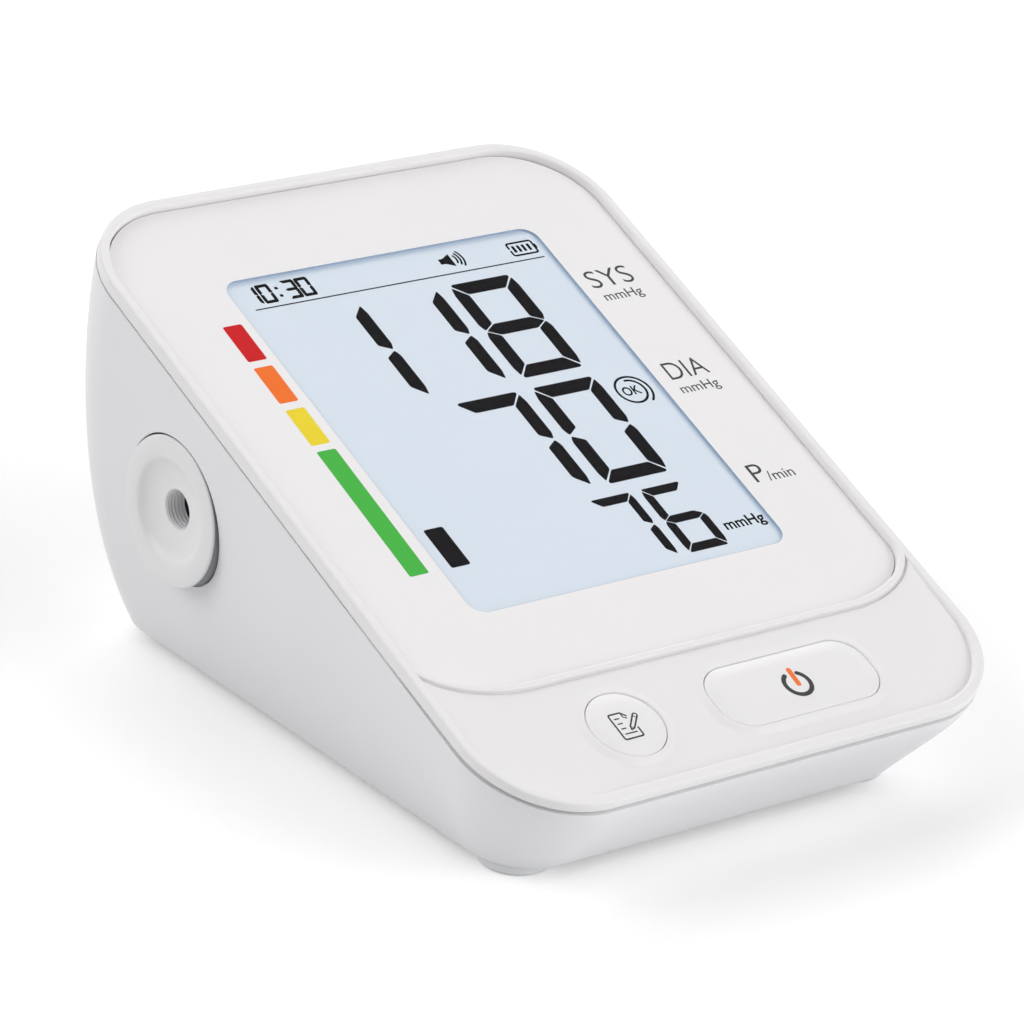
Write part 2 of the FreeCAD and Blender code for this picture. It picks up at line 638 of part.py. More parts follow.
def small_screws(places, depth):
    screws = []
    for x, y in places:
        seat = -depth - BOARD_THICK
        head = rod(x, y, seat - SMALL_HEAD_HEIGHT, SMALL_HEAD_RADIUS, SMALL_HEAD_HEIGHT, V(0, 0, 1))
        shank = rod(x, y, seat, SMALL_SCREW_RADIUS, SMALL_SCREW_LENGTH, V(0, 0, 1))
        screws.append(head.fuse(shank).removeSplitter())
    return on_face(Part.makeCompound(screws))


def make_processor():
    half = CHIP_SIDE / 2
    top = -MAIN_BOARD_DEPTH - BOARD_THICK
    return on_face(box(CHIP_X - half, CHIP_X + half, CHIP_Y - half, CHIP_Y + half, top - CHIP_THICK, top))


def make_pressure_sensor():
    half = SENSOR_SIDE / 2
    top = -MAIN_BOARD_DEPTH - BOARD_THICK
    foot = top - SENSOR_HEIGHT
    body = box(SENSOR_X - half, SENSOR_X + half, SENSOR_Y - half, SENSOR_Y + half, foot, top)
    nipple = rod(SENSOR_X, SENSOR_BACK - SEAT_GAP, -SENSOR_AXIS, NIPPLE_RADIUS, NIPPLE_LENGTH + SEAT_GAP,
                 V(0, 1, 0))
    return on_face(body.fuse(nipple).removeSplitter())


# Case screws and feet

def make_case_screws():
    screws = []
    for x, y, split in FOOT_PLACES:
        seat = split - SCREW_SEAT
        head = rod(x, y, seat - SCREW_HEAD_HEIGHT, SCREW_HEAD_RADIUS, SCREW_HEAD_HEIGHT, V(0, 0, 1))
        shank = rod(x, y, seat, SCREW_RADIUS, SCREW_LENGTH, V(0, 0, 1))
        screws.append(head.fuse(shank).removeSplitter())
    return Part.makeCompound(screws)


def make_feet():
    feet = []
    for x, y, split in FOOT_PLACES:
        foot = rod(x, y, FLOOR_Z, FOOT_RADIUS, FOOT_HEIGHT, V(0, 0, 1))
        feet.append(foot.makeFillet(FOOT_EDGE_RADIUS, top_edges(foot, FLOOR_Z)))
    return Part.makeCompound(feet)


# Battery bay: lid, cells and contacts

LID_AXIS_Y = BAY_BACK + LID_LEDGE - LID_GAP - LID_THICK / 2
LID_AXIS_Z = BASE_Z + LID_THICK / 2


def make_battery_cover():
    half = BAY_HALF + LID_LEDGE - LID_GAP
    front = BAY_FRONT - LID_LEDGE + LID_GAP
    lid = box(-half, half, front, LID_AXIS_Y, BASE_Z, BASE_Z + LID_THICK)
    lid = lid.fuse(rod(-half, LID_AXIS_Y, LID_AXIS_Z, LID_THICK / 2, 2 * half, V(1, 0, 0)))
    for i in range(LID_GROOVE_COUNT):
        y = front + LID_GROOVE_START + LID_GROOVE_PITCH * i
        lid = lid.cut(box(-LID_GROOVE_LENGTH / 2, LID_GROOVE_LENGTH / 2, y, y + LID_GROOVE_WIDTH,
                          BASE_Z - OVERRUN, BASE_Z + LID_GROOVE_DEPTH))
    return lid.removeSplitter()


def cell_row(i):
    """Middle of a cell across the bay and the way that its raised end points."""
    return BAY_FRONT + CELL_PITCH * i + CELL_PITCH / 2, 1 - 2 * (i % 2)


def make_batteries():
    cells = []
    for i in range(CELL_COUNT):
        y, way = cell_row(i)
        can = rod(-CELL_LENGTH / 2, y, CELL_Z, CELL_RADIUS, CELL_LENGTH, V(1, 0, 0))
        nub = rod(way * CELL_LENGTH / 2, y, CELL_Z, CELL_NUB_RADIUS, CELL_NUB_LENGTH, V(way, 0, 0))
        cells.append(can.fuse(nub).removeSplitter())
    return Part.makeCompound(cells)


def contact_plate(i, end):
    y, way = cell_row(i)
    wall = end * BAY_HALF
    inner = wall - end * CONTACT_THICK
    return box(min(wall, inner), max(wall, inner), y - CONTACT_WIDTH / 2, y + CONTACT_WIDTH / 2,
               CELL_Z - CONTACT_HEIGHT / 2, CELL_Z + CONTACT_HEIGHT / 2)


def make_contact_plates():
    return Part.makeCompound([contact_plate(i, cell_row(i)[1]) for i in range(CELL_COUNT)])


def make_contact_springs():
    springs = []
    for i in range(CELL_COUNT):
        y, way = cell_row(i)
        end = -way
        root = end * (BAY_HALF - CONTACT_THICK)
        tip = end * (BAY_HALF - CONTACT_THICK - LEAF_REACH)
        low = CELL_Z - CONTACT_HEIGHT / 2
        leaf = Part.Face(Part.makePolygon([
            V(root, y - CONTACT_WIDTH / 4, low), V(tip, y - CONTACT_WIDTH / 4, CELL_Z),
            V(tip, y - CONTACT_WIDTH / 4, CELL_Z + CONTACT_THICK),
            V(root, y - CONTACT_WIDTH / 4, low + 2 * CONTACT_THICK), V(root, y - CONTACT_WIDTH / 4, low)]))
        leaf = leaf.extrude(V(0, CONTACT_WIDTH / 2, 0))
        springs.append(contact_plate(i, end).fuse(leaf).removeSplitter())
    return Part.makeCompound(springs)


# Loudspeaker on the floor of the case, facing down to its sound holes

def make_speaker_frame():
    top = INNER_BASE_Z + SPEAKER_HEIGHT
    ring = hollow_rod(0, SPEAKER_Y, INNER_BASE_Z, SPEAKER_RADIUS, SPEAKER_RADIUS - SPEAKER_RING,
                      SPEAKER_HEIGHT, V(0, 0, 1))
    back = hollow_rod(0, SPEAKER_Y, top - SPEAKER_BACK, SPEAKER_RADIUS, MAGNET_RADIUS / 2, SPEAKER_BACK,
                      V(0, 0, 1))
    return ring.fuse(back).removeSplitter()


def make_speaker_magnet():
    return rod(0, SPEAKER_Y, INNER_BASE_Z + SPEAKER_HEIGHT, MAGNET_RADIUS, MAGNET_HEIGHT, V(0, 0, 1))


def make_speaker_cone():
    outer = SPEAKER_RADIUS - SPEAKER_RING
    inner = MAGNET_RADIUS / 2
    low = INNER_BASE_Z + CONE_THICK
    solid = Part.makeCone(outer, inner, CONE_RISE, V(0, SPEAKER_Y, low))
    below = Part.makeCone(outer, inner, CONE_RISE, V(0, SPEAKER_Y, low - CONE_THICK))
    cap = rod(0, SPEAKER_Y, low + CONE_RISE - CONE_THICK, inner, CONE_THICK, V(0, 0, 1))
    return solid.cut(below).fuse(cap).removeSplitter()


# Air socket: flange and dish outside, barrel through the wall, nut and seal

def make_air_socket():
    flange = rod(SOCKET_SEAT_X, SOCKET_Y, SOCKET_Z, FLANGE_RADIUS, SOCKET_THICK, V(-1, 0, 0))
    edge = [e for e in flange.Edges if e.BoundBox.XMax < SOCKET_FACE_X + SHAFT_GAP]
    flange = flange.makeFillet(FLANGE_EDGE_RADIUS, edge)
    barrel = rod(SOCKET_SEAT_X, SOCKET_Y, SOCKET_Z, BARREL_RADIUS, BARREL_END_X - SOCKET_SEAT_X, V(1, 0, 0))
    socket = flange.fuse(barrel)
    socket = socket.cut(Part.makeCone(DISH_RADIUS, DISH_FLOOR_RADIUS, DISH_DEPTH,
                                      V(SOCKET_FACE_X, SOCKET_Y, SOCKET_Z), V(1, 0, 0)))
    socket = socket.cut(rod(SOCKET_FACE_X - OVERRUN, SOCKET_Y, SOCKET_Z, PLUG_BORE_RADIUS,
                            OVERRUN + DISH_DEPTH + PLUG_BORE_LENGTH, V(1, 0, 0)))
    socket = socket.cut(rod(SOCKET_FACE_X, SOCKET_Y, SOCKET_Z, AIR_BORE_RADIUS,
                            BARREL_END_X - SOCKET_FACE_X + OVERRUN, V(1, 0, 0)))
    return socket.removeSplitter()


SEAL_X = SOCKET_SEAT_X + SEAT_PAD_WALL
NUT_X = SEAL_X + SEAL_THICK


def make_socket_seal():
    return hollow_rod(SEAL_X, SOCKET_Y, SOCKET_Z, BARREL_RADIUS + SEAL_WIDTH, BARREL_RADIUS + SHAFT_GAP,
                      SEAL_THICK, V(1, 0, 0))


def make_socket_nut():
    points = []
    for i in range(NUT_SIDES + 1):
        turn = 2 * math.pi * i / NUT_SIDES
        points.append(V(NUT_X, SOCKET_Y + NUT_RADIUS * math.cos(turn),
                        SOCKET_Z + NUT_RADIUS * math.sin(turn)))
    nut = Part.Face(Part.makePolygon(points)).extrude(V(NUT_THICK, 0, 0))
    return nut.cut(rod(NUT_X - OVERRUN, SOCKET_Y, SOCKET_Z, BARREL_RADIUS + SHAFT_GAP,
                       NUT_THICK + 2 * OVERRUN, V(1, 0, 0)))


# Air block behind the socket, with nipples to pump, valve and pressure sensor

BLOCK_FRONT = SOCKET_Y - BLOCK_DEPTH / 2
BLOCK_BACK = SOCKET_Y + BLOCK_DEPTH / 2
HEAD_START_X = MOTOR_START_X - HEAD_LENGTH
PUMP_NIPPLE_X = HEAD_START_X + HEAD_LENGTH / 2
BLOCK_END_X = PUMP_NIPPLE_X + BLOCK_END_MARGIN
PUMP_FRONT = PUMP_Y - MOTOR_RADIUS
RISER_ENTRY = (BLOCK_FRONT - SENSOR_AXIS * SIN) / COS
RISER_LIMIT = RISER_ENTRY - (NIPPLE_RADIUS + TUBE_WALL) * TAN - SEAT_GAP
RISER_END = RISER_ENTRY + NIPPLE_RADIUS
BLOCK_TOP_Z = RISER_END * SIN - SENSOR_AXIS * COS + NIPPLE_RADIUS


def make_air_block():
    block = box(BARREL_END_X, BLOCK_END_X, BLOCK_FRONT, BLOCK_BACK,
                valve_axis_z() - BLOCK_HEIGHT / 2, BLOCK_TOP_Z)
    block = block.fuse(rod(PUMP_NIPPLE_X, SOCKET_Y, PUMP_Z, NIPPLE_RADIUS,
                           BLOCK_DEPTH / 2 + NIPPLE_LENGTH, V(0, 1, 0)))
    block = block.fuse(rod(BLOCK_END_X - SEAT_GAP, SOCKET_Y, valve_axis_z(), NIPPLE_RADIUS,
                           NIPPLE_LENGTH + SEAT_GAP, V(1, 0, 0)))
    riser = rod(SENSOR_X, RISER_LIMIT - NIPPLE_LENGTH, -SENSOR_AXIS, NIPPLE_RADIUS,
                RISER_END - RISER_LIMIT + NIPPLE_LENGTH, V(0, 1, 0))
    return block.fuse(on_face(riser)).removeSplitter()


def tube(x, y, z, length, direction):
    return hollow_rod(x, y, z, NIPPLE_RADIUS + TUBE_WALL, NIPPLE_RADIUS + SHAFT_GAP, length, direction)


def make_air_tubes():
    tubes = []
    pump_gap = PUMP_FRONT - BLOCK_BACK
    tubes.append(tube(PUMP_NIPPLE_X, BLOCK_BACK + SEAT_GAP, PUMP_Z, pump_gap - 2 * SEAT_GAP, V(0, 1, 0)))
    tubes.append(tube(BLOCK_END_X + SEAT_GAP, SOCKET_Y, valve_axis_z(),
                      VALVE_X - BLOCK_END_X - 2 * SEAT_GAP, V(1, 0, 0)))
    tubes.append(on_face(tube(SENSOR_X, SENSOR_BACK + SEAT_GAP, -SENSOR_AXIS,
                              RISER_LIMIT - SENSOR_BACK - SEAT_GAP, V(0, 1, 0))))
    return Part.makeCompound(tubes)


# Pump: motor, diaphragm head and the crank between them

def make_pump_motor():
    motor = rod(MOTOR_START_X, PUMP_Y, PUMP_Z, MOTOR_RADIUS, MOTOR_LENGTH, V(1, 0, 0))
    return motor.cut(rod(MOTOR_START_X - OVERRUN, PUMP_Y, PUMP_Z, SHAFT_RADIUS + SHAFT_GAP,
                         SHAFT_LENGTH + MOVE_GAP + OVERRUN, V(1, 0, 0)))


def make_pump_head():
    head = rod(HEAD_START_X, PUMP_Y, PUMP_Z, MOTOR_RADIUS, HEAD_LENGTH, V(1, 0, 0))
    head = head.cut(rod(HEAD_START_X + HEAD_WALL, PUMP_Y, PUMP_Z, MOTOR_RADIUS - HEAD_WALL, HEAD_LENGTH,
                        V(1, 0, 0)))
    nipple = rod(PUMP_NIPPLE_X, PUMP_FRONT - NIPPLE_LENGTH, PUMP_Z, NIPPLE_RADIUS,
                 NIPPLE_LENGTH + HEAD_WALL, V(0, 1, 0))
    return head.fuse(nipple).removeSplitter()


def make_pump_crank():
    disc_x = MOTOR_START_X - MOVE_GAP - CRANK_THICK
    disc = rod(disc_x, PUMP_Y, PUMP_Z, CRANK_RADIUS, CRANK_THICK, V(1, 0, 0))
    shaft = rod(disc_x, PUMP_Y, PUMP_Z, SHAFT_RADIUS, CRANK_THICK + MOVE_GAP + SHAFT_LENGTH, V(1, 0, 0))
    pin = rod(disc_x - CRANK_PIN_LENGTH, PUMP_Y, PUMP_Z + CRANK_PIN_OFFSET, CRANK_PIN_RADIUS,
              CRANK_PIN_LENGTH + SEAT_GAP, V(1, 0, 0))
    return disc.fuse(shaft).fuse(pin).removeSplitter()


# Release valve on the roof of the battery bay

def valve_axis_z():
    return BAY_ROOF_Z + VALVE_SIDE / 2


def make_valve_body():
    half = VALVE_SIDE / 2
    z = valve_axis_z()
    body = box(VALVE_X, VALVE_X + VALVE_LENGTH, SOCKET_Y - half, SOCKET_Y + half, z - half, z + half)
    body = body.cut(rod(VALVE_X + VALVE_LENGTH + OVERRUN, SOCKET_Y, z, VALVE_BORE,
                        VALVE_BORE_DEPTH + OVERRUN, V(-1, 0, 0)))
    nipple = rod(VALVE_X - NIPPLE_LENGTH, SOCKET_Y, z, NIPPLE_RADIUS, NIPPLE_LENGTH + SEAT_GAP, V(1, 0, 0))
    return body.fuse(nipple).removeSplitter()


def make_valve_plunger():
    start = VALVE_X + VALVE_LENGTH - VALVE_BORE_DEPTH + VALVE_STROKE + MOVE_GAP
    return rod(start, SOCKET_Y, valve_axis_z(), VALVE_BORE - SHAFT_GAP, VALVE_PLUNGER_LENGTH, V(1, 0, 0))


NODES = {
    "lower_case": make_lower_case(),
    "upper_cover": make_upper_cover(),
    "display_panel": make_display_panel(),
    "display_window": make_display_window(),
    "lcd_panel": make_lcd_panel(),
    "lcd_backlight": make_lcd_backlight(),
    "lcd_frame": make_lcd_frame(),
    "main_board": make_main_board(),
    "processor": make_processor(),
    "pressure_sensor": make_pressure_sensor(),
    "board_screws": small_screws(BOARD_SCREW_PLACES, MAIN_BOARD_DEPTH),
    "key_board": make_key_board(),
    "key_board_screws": small_screws(KEY_SCREW_PLACES, KEY_BOARD_DEPTH),
    "memory_button": make_memory_button(),
    "memory_switch": make_switch(MEMORY_X, MEMORY_Y),
    "memory_plunger": make_plunger(MEMORY_X, MEMORY_Y),
    "start_button": make_start_button(),
    "start_switch": make_switch(START_X, START_Y),
    "start_plunger": make_plunger(START_X, START_Y),
    "case_screws": make_case_screws(),
    "feet": make_feet(),
    "battery_cover": make_battery_cover(),
    "batteries": make_batteries(),
    "contact_plates": make_contact_plates(),
    "contact_springs": make_contact_springs(),
    "speaker_frame": make_speaker_frame(),
    "speaker_magnet": make_speaker_magnet(),
    "speaker_cone": make_speaker_cone(),
    "air_socket": make_air_socket(),
    "socket_seal": make_socket_seal(),
    "socket_nut": make_socket_nut(),
    "air_block": make_air_block(),
    "air_tubes": make_air_tubes(),
    "pump_motor": make_pump_motor(),
    "pump_head": make_pump_head(),
    "pump_crank": make_pump_crank(),
    "valve_body": make_valve_body(),
    "valve_plunger": make_valve_plunger(),
}

# The final origin: the middle of the underside of the whole box
ORIGIN = V(0, -DEPTH / 2, STAND_HEIGHT)

os.makedirs("parts", exist_ok=True)
for name, shape in NODES.items():
    shape.translate(ORIGIN)
    shape.exportStep("parts/" + name + ".step")
    box_now = shape.BoundBox
    print(name, len(shape.Solids), shape.isValid(), round(shape.Volume, 1),
          [round(q, 2) for q in (box_now.XMin, box_now.XMax, box_now.YMin, box_now.YMax,
                                 box_now.ZMin, box_now.ZMax)])
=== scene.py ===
import json

import bpy
import numpy as np
from mathutils import Matrix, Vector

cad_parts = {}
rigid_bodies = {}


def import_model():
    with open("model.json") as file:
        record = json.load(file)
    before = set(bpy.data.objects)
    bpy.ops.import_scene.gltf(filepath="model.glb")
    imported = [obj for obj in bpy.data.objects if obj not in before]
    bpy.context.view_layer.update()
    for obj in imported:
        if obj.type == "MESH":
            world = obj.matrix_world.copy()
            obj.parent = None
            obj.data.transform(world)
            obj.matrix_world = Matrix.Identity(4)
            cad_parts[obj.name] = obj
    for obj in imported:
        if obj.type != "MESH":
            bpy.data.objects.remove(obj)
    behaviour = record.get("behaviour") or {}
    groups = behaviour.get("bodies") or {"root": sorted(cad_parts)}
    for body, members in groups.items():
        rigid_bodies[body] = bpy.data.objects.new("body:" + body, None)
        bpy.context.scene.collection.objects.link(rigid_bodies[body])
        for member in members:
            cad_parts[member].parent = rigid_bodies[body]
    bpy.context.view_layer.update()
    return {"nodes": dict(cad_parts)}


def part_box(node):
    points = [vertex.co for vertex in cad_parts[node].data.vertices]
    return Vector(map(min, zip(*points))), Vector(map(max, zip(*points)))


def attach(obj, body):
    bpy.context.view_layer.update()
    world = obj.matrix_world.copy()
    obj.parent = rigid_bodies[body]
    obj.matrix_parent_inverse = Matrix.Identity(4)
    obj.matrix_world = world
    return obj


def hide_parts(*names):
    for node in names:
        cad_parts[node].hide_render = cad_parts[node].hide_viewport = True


for leftover in list(bpy.data.objects):
    bpy.data.objects.remove(leftover)

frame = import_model()


# Lower case: the wedge-shaped tub that carries everything, injection moulded in white ABS
# with a fine satin texture. Four screws under the feet pull it against the cover.

def ink(red, green, blue):
    """Linear colour of a shade given as three screen values from 0 to 255."""
    shade = np.array([red, green, blue]) / 255.0
    linear = np.where(shade <= 0.04045, shade / 12.92, ((shade + 0.055) / 1.055) ** 2.4)
    return (*linear.tolist(), 1.0)


def effect_group(name, **inputs):
    """Empty shader group that makes a colour, a roughness and a height from named colours and
    numbers; gives the tree and its two end nodes."""
    tree = bpy.data.node_groups.new(name, "ShaderNodeTree")
    for label, value in inputs.items():
        kind = "NodeSocketColor" if isinstance(value, tuple) else "NodeSocketFloat"
        tree.interface.new_socket(label, in_out="INPUT", socket_type=kind).default_value = value
    for label, kind in (("Colour", "NodeSocketColor"), ("Roughness", "NodeSocketFloat"),
                        ("Height", "NodeSocketFloat")):
        tree.interface.new_socket(label, in_out="OUTPUT", socket_type=kind)
    return tree, tree.nodes.new("NodeGroupInput"), tree.nodes.new("NodeGroupOutput")


def feed(tree, socket, value):
    """Sets a socket to a number or a colour, or links it to another socket."""
    if isinstance(value, (int, float, tuple)):
        socket.default_value = value
    else:
        tree.links.new(value, socket)


def feeds(tree, some_node, **values):
    """Feeds a node's inputs by name, with low lines for spaces, and gives the node."""
    for label, value in values.items():
        feed(tree, some_node.inputs[label.replace("_", " ")], value)
    return some_node


def node(tree, kind, **values):
    """New shader node with its inputs fed."""
    return feeds(tree, tree.nodes.new("ShaderNode" + kind), **values)


def noise(tree, place, size, detail):
    """Cloudy pattern in object space whose lumps are about size metres across."""
    return node(tree, "TexNoise", Scale=1.0 / size, Detail=detail, Vector=place).outputs["Fac"]


def sums(tree, operation, *values):
    """Math node on sockets or numbers, as many as its operation takes."""
    math = node(tree, "Math")
    math.operation = operation
    for socket, value in zip(math.inputs, values):
        feed(tree, socket, value)
    return math.outputs[0]


def blended(tree, share, first, second):
    """Colour mix of two sockets or colours by a share from 0 to 1. The node keeps a set of sockets
    for each kind of value, and those for colours are the seventh and eighth, and the third out."""
    mix = node(tree, "Mix")
    mix.data_type = "RGBA"
    feeds(tree, mix, Factor=share)
    feed(tree, mix.inputs[6], first)
    feed(tree, mix.inputs[7], second)
    return mix.outputs[2]


def moulded_grain():
    """Mould texture: fine lumps for the bump, slow cloudiness for the tint, both for the gloss."""
    tree, given, made = effect_group("moulded_grain", Colour=(0.8, 0.8, 0.8, 1.0),
                                     Shade=(0.7, 0.7, 0.7, 1.0), Roughness=0.4, Spread=0.08)
    place = node(tree, "TexCoord").outputs["Object"]
    fine = noise(tree, place, size=0.00035, detail=3.0)
    slow = noise(tree, place, size=0.022, detail=2.0)
    swing = sums(tree, "SUBTRACT", sums(tree, "ADD", fine, slow), 1.0)
    swing = sums(tree, "MULTIPLY", swing, given.outputs["Spread"])
    feeds(tree, made, Height=fine,
          Colour=blended(tree, slow, given.outputs["Colour"], given.outputs["Shade"]),
          Roughness=sums(tree, "ADD", given.outputs["Roughness"], swing))
    return tree


grain = moulded_grain()


def fresh(name):
    """New node material; gives it with its tree and its Principled shader."""
    material = bpy.data.materials.new(name)
    material.use_nodes = True
    tree = material.node_tree
    return material, tree, tree.nodes["Principled BSDF"]


def textured(name, group, values, strength, bump, constants):
    """Material whose Principled shader takes colour, roughness and bump from an effect group with
    its own values. The constants are set on the shader itself."""
    material, tree, shader = fresh(name)
    feeds(tree, shader, **constants)
    texture = node(tree, "Group")
    texture.node_tree = group
    colour, roughness, height = feeds(tree, texture, **values).outputs
    bumps = node(tree, "Bump", Strength=strength, Distance=bump, Height=height)
    feeds(tree, shader, Base_Color=colour, Roughness=roughness, Normal=bumps.outputs["Normal"])
    return material


def moulded(name, colour, shade, roughness, spread=0.08, bump=0.00001, **constants):
    """Material of a moulded, printed or rubber piece, with the mould texture."""
    values = {"Colour": ink(*colour), "Shade": ink(*shade), "Roughness": roughness,
              "Spread": spread}
    return textured(name, grain, values, strength=0.35, bump=bump, constants=constants)


def finish(material, *names):
    """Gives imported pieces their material."""
    for name in names:
        frame["nodes"][name].material_slots[0].material = material


finish(moulded("case_white", (233, 233, 235), (230, 230, 232), 0.42),
       "lower_case", "battery_cover")


# Feet: four soft pads stuck over the case screws, cast in off-white silicone, with a rounded foot
# and a shallow hollow under the middle.

def skin(rows, closed=False):
    """Surface through loops of points, given as rows x points x 3. Neighbouring loops are joined by
    four-sided faces. With closed, the last loop joins the first; otherwise each end loop is filled
    by a fan to its middle. Faces are turned outwards by the sign of the volume they enclose."""
    rows = np.asarray(rows, float)
    count, wide = rows.shape[:2]
    points = rows.reshape(-1, 3)
    low = np.arange(count if closed else count - 1)[:, None] * wide
    high = (low + wide) % (count * wide)
    here = np.arange(wide)[None, :]
    after = (here + 1) % wide
    quads = np.stack([low + here, low + after, high + after, high + here], -1).reshape(-1, 4)
    fans = np.empty((0, 3), int)
    if not closed:
        points = np.vstack([points, rows[[0, -1]].mean(1)])
        here, after = here[0], after[0]
        last = (count - 1) * wide
        fans = np.vstack([
            np.stack([after, here, np.full(wide, count * wide)], -1),
            np.stack([here + last, after + last, np.full(wide, count * wide + 1)], -1)])
    corners = np.vstack([quads[:, :3], quads[:, [0, 2, 3]], fans])
    first, second, third = (points[corners[:, i]] for i in range(3))
    if np.einsum("ij,ij->", first, np.cross(second, third)) < 0:
        quads, fans = quads[:, ::-1], fans[:, ::-1]
    return points, quads.tolist() + fans.tolist()


def piece(name, skins, material, body, nodes=()):
    """One object from several skins in millimetres, shaded smooth but for sharp edges, riding on a
    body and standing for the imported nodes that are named."""
    points, faces = [], []
    for some_points, some_faces in skins:
        start = sum(len(p) for p in points)
        points.append(np.asarray(some_points) / 1000.0)
        faces += [[start + i for i in face] for face in some_faces]
    mesh = bpy.data.meshes.new(name)
    mesh.from_pydata(np.vstack(points).tolist(), [], faces)
    mesh.shade_smooth()
    mesh.set_sharp_from_angle(angle=np.radians(40.0))
    mesh.materials.append(material)
    thing = bpy.data.objects.new(name, mesh)
    bpy.context.scene.collection.objects.link(thing)
    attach(thing, body)
    if nodes:
        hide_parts(*nodes)


def arc(centre, radius, start, end, steps):
    """Points of an arc, by angle in degrees."""
    turn = np.radians(np.linspace(start, end, steps))
    return np.stack([centre[0] + radius * np.cos(turn), centre[1] + radius * np.sin(turn)], -1)


def foot_skin(across, along, radius):
    """Turned pad: a profile of radius and height carried round an upright axis."""
    axis, top, edge, hollow = 0.01, 1.8, 0.9, 0.15
    profile = np.vstack([[(axis, top), (radius, top)],
                         arc((radius - edge, edge), edge, 0, -90, 9),
                         [(3.3, 0.0), (2.9, hollow), (axis, hollow)]])
    turn = np.linspace(0, 2 * np.pi, 72, endpoint=False)
    reach, height = profile[:, :1], profile[:, 1:]
    ring = [across + reach * np.cos(turn), along + reach * np.sin(turn), height + 0 * turn]
    return skin(np.stack(ring, -1), closed=True)


foot_silicone = moulded("foot_silicone", (228, 229, 232), (222, 223, 226), 0.6, bump=0.00003)
feet_low, feet_high = (1000 * np.array(corner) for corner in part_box("feet"))
front_foot = (33.3, feet_low[1] + 4.9, 6.0)
back_foot = (feet_high[0] - 6.1, feet_high[1] - 5.9, 4.9)
piece("feet_pads", [foot_skin(side * across, along, radius) for side in (-1, 1)
                    for across, along, radius in (front_foot, back_foot)],
      foot_silicone, "case", ["feet"])


# Screws: plated steel. Four come up from under the feet and pull the case against the cover, and
# short ones hold both boards to the cover's bosses.

def worn_metal():
    """Plated metal: fine scratches along one way for bump and gloss, slow stains for the tint."""
    tree, given, made = effect_group("worn_metal", Colour=(0.6, 0.6, 0.6, 1.0),
                                     Stain=(0.4, 0.4, 0.4, 1.0), Roughness=0.3)
    place = node(tree, "TexCoord").outputs["Object"]
    stretch = node(tree, "Mapping", Scale=(0.08, 1.0, 1.0), Vector=place)
    scratch = node(tree, "TexNoise", Scale=6000.0, Vector=stretch.outputs["Vector"]).outputs["Fac"]
    stain = noise(tree, place, size=0.004, detail=4.0)
    swing = sums(tree, "MULTIPLY", scratch, 0.15)
    feeds(tree, made, Height=scratch,
          Colour=blended(tree, stain, given.outputs["Colour"], given.outputs["Stain"]),
          Roughness=sums(tree, "ADD", given.outputs["Roughness"], swing))
    return tree


scratches = worn_metal()


def plated(name, colour, stain, roughness):
    """Material of a metal piece, with the scratches."""
    values = {"Colour": ink(*colour), "Stain": ink(*stain), "Roughness": roughness}
    return textured(name, scratches, values, strength=0.2, bump=0.00002,
                    constants={"Metallic": 1.0})


finish(plated("screw_steel", (178, 180, 184), (150, 152, 156), 0.28),
       "case_screws", "board_screws", "key_board_screws")


# Batteries and contacts: four AA cells, steel cans in a printed sleeve, lie in the case's bay
# between plates and wound springs of nickel-plated steel.

def sleeve_material():
    """Cell sleeve: bare steel beyond each end of the sleeve, a pale ring, and a dark body, by place
    along x."""
    sleeve_end, ring_end = 0.0237, 0.0165
    material, tree, shader = fresh("cell_sleeve")
    place = node(tree, "TexCoord").outputs["Object"]
    along = sums(tree, "ABSOLUTE", node(tree, "SeparateXYZ", Vector=place).outputs["X"])
    bare = sums(tree, "GREATER_THAN", along, sleeve_end)
    ring = sums(tree, "GREATER_THAN", along, ring_end)
    cloud = noise(tree, place, size=0.003, detail=3.0)
    body = blended(tree, cloud, ink(44, 48, 58), ink(54, 58, 68))
    sleeve = blended(tree, ring, body, ink(196, 160, 92))
    feeds(tree, shader, Base_Color=blended(tree, bare, sleeve, ink(190, 190, 194)), Metallic=bare,
          Roughness=sums(tree, "MULTIPLY_ADD", cloud, 0.15, 0.5))
    return material


finish(sleeve_material(), "batteries")
finish(plated("contact_nickel", (205, 203, 196), (184, 181, 172), 0.22),
       "contact_plates", "contact_springs")


# Loudspeaker: a pressed steel basket with a ferrite ring glued behind it and a doped film cone in
# front, fixed over the sound holes of the lower case.
finish(plated("basket_steel", (150, 152, 156), (120, 122, 126), 0.38), "speaker_frame")
finish(moulded("ferrite", (52, 52, 55), (40, 40, 43), 0.7, bump=0.00004), "speaker_magnet")
finish(moulded("cone_film", (34, 34, 37), (26, 26, 29), 0.5, bump=0.00005), "speaker_cone")


# Air socket: a turned-looking moulded flange let into the left wall, with a shallow dish that
# guides the plug and a ribbed bore. A grey sleeve round its edge is painted shade of the flange's
# side, a black ring deep in its bore is painted shade of the bore, and a nut and a rubber ring hold
# it from inside.

FACE_Y, FACE_Z = -64.2121, 19.0  # Front edge of the sloping face


def turned(radius, along):
    """Turned shape: a closed profile of radius and place along the socket's axis, carried round
    that axis."""
    middle_y, middle_z = 93.1243 + FACE_Y, 13.4 + FACE_Z
    turn = np.linspace(0, 2 * np.pi, 144, endpoint=False)
    radius, along = np.asarray(radius, float)[:, None], np.asarray(along, float)[:, None]
    ring = [along + 0 * turn, middle_y + radius * np.cos(turn), middle_z + radius * np.sin(turn)]
    return skin(np.stack(ring, -1), closed=True)


def hoop(inner, outer, start, end):
    """Turned ring with a rectangular section."""
    return turned([inner, outer, outer, inner], [start, start, end, end])


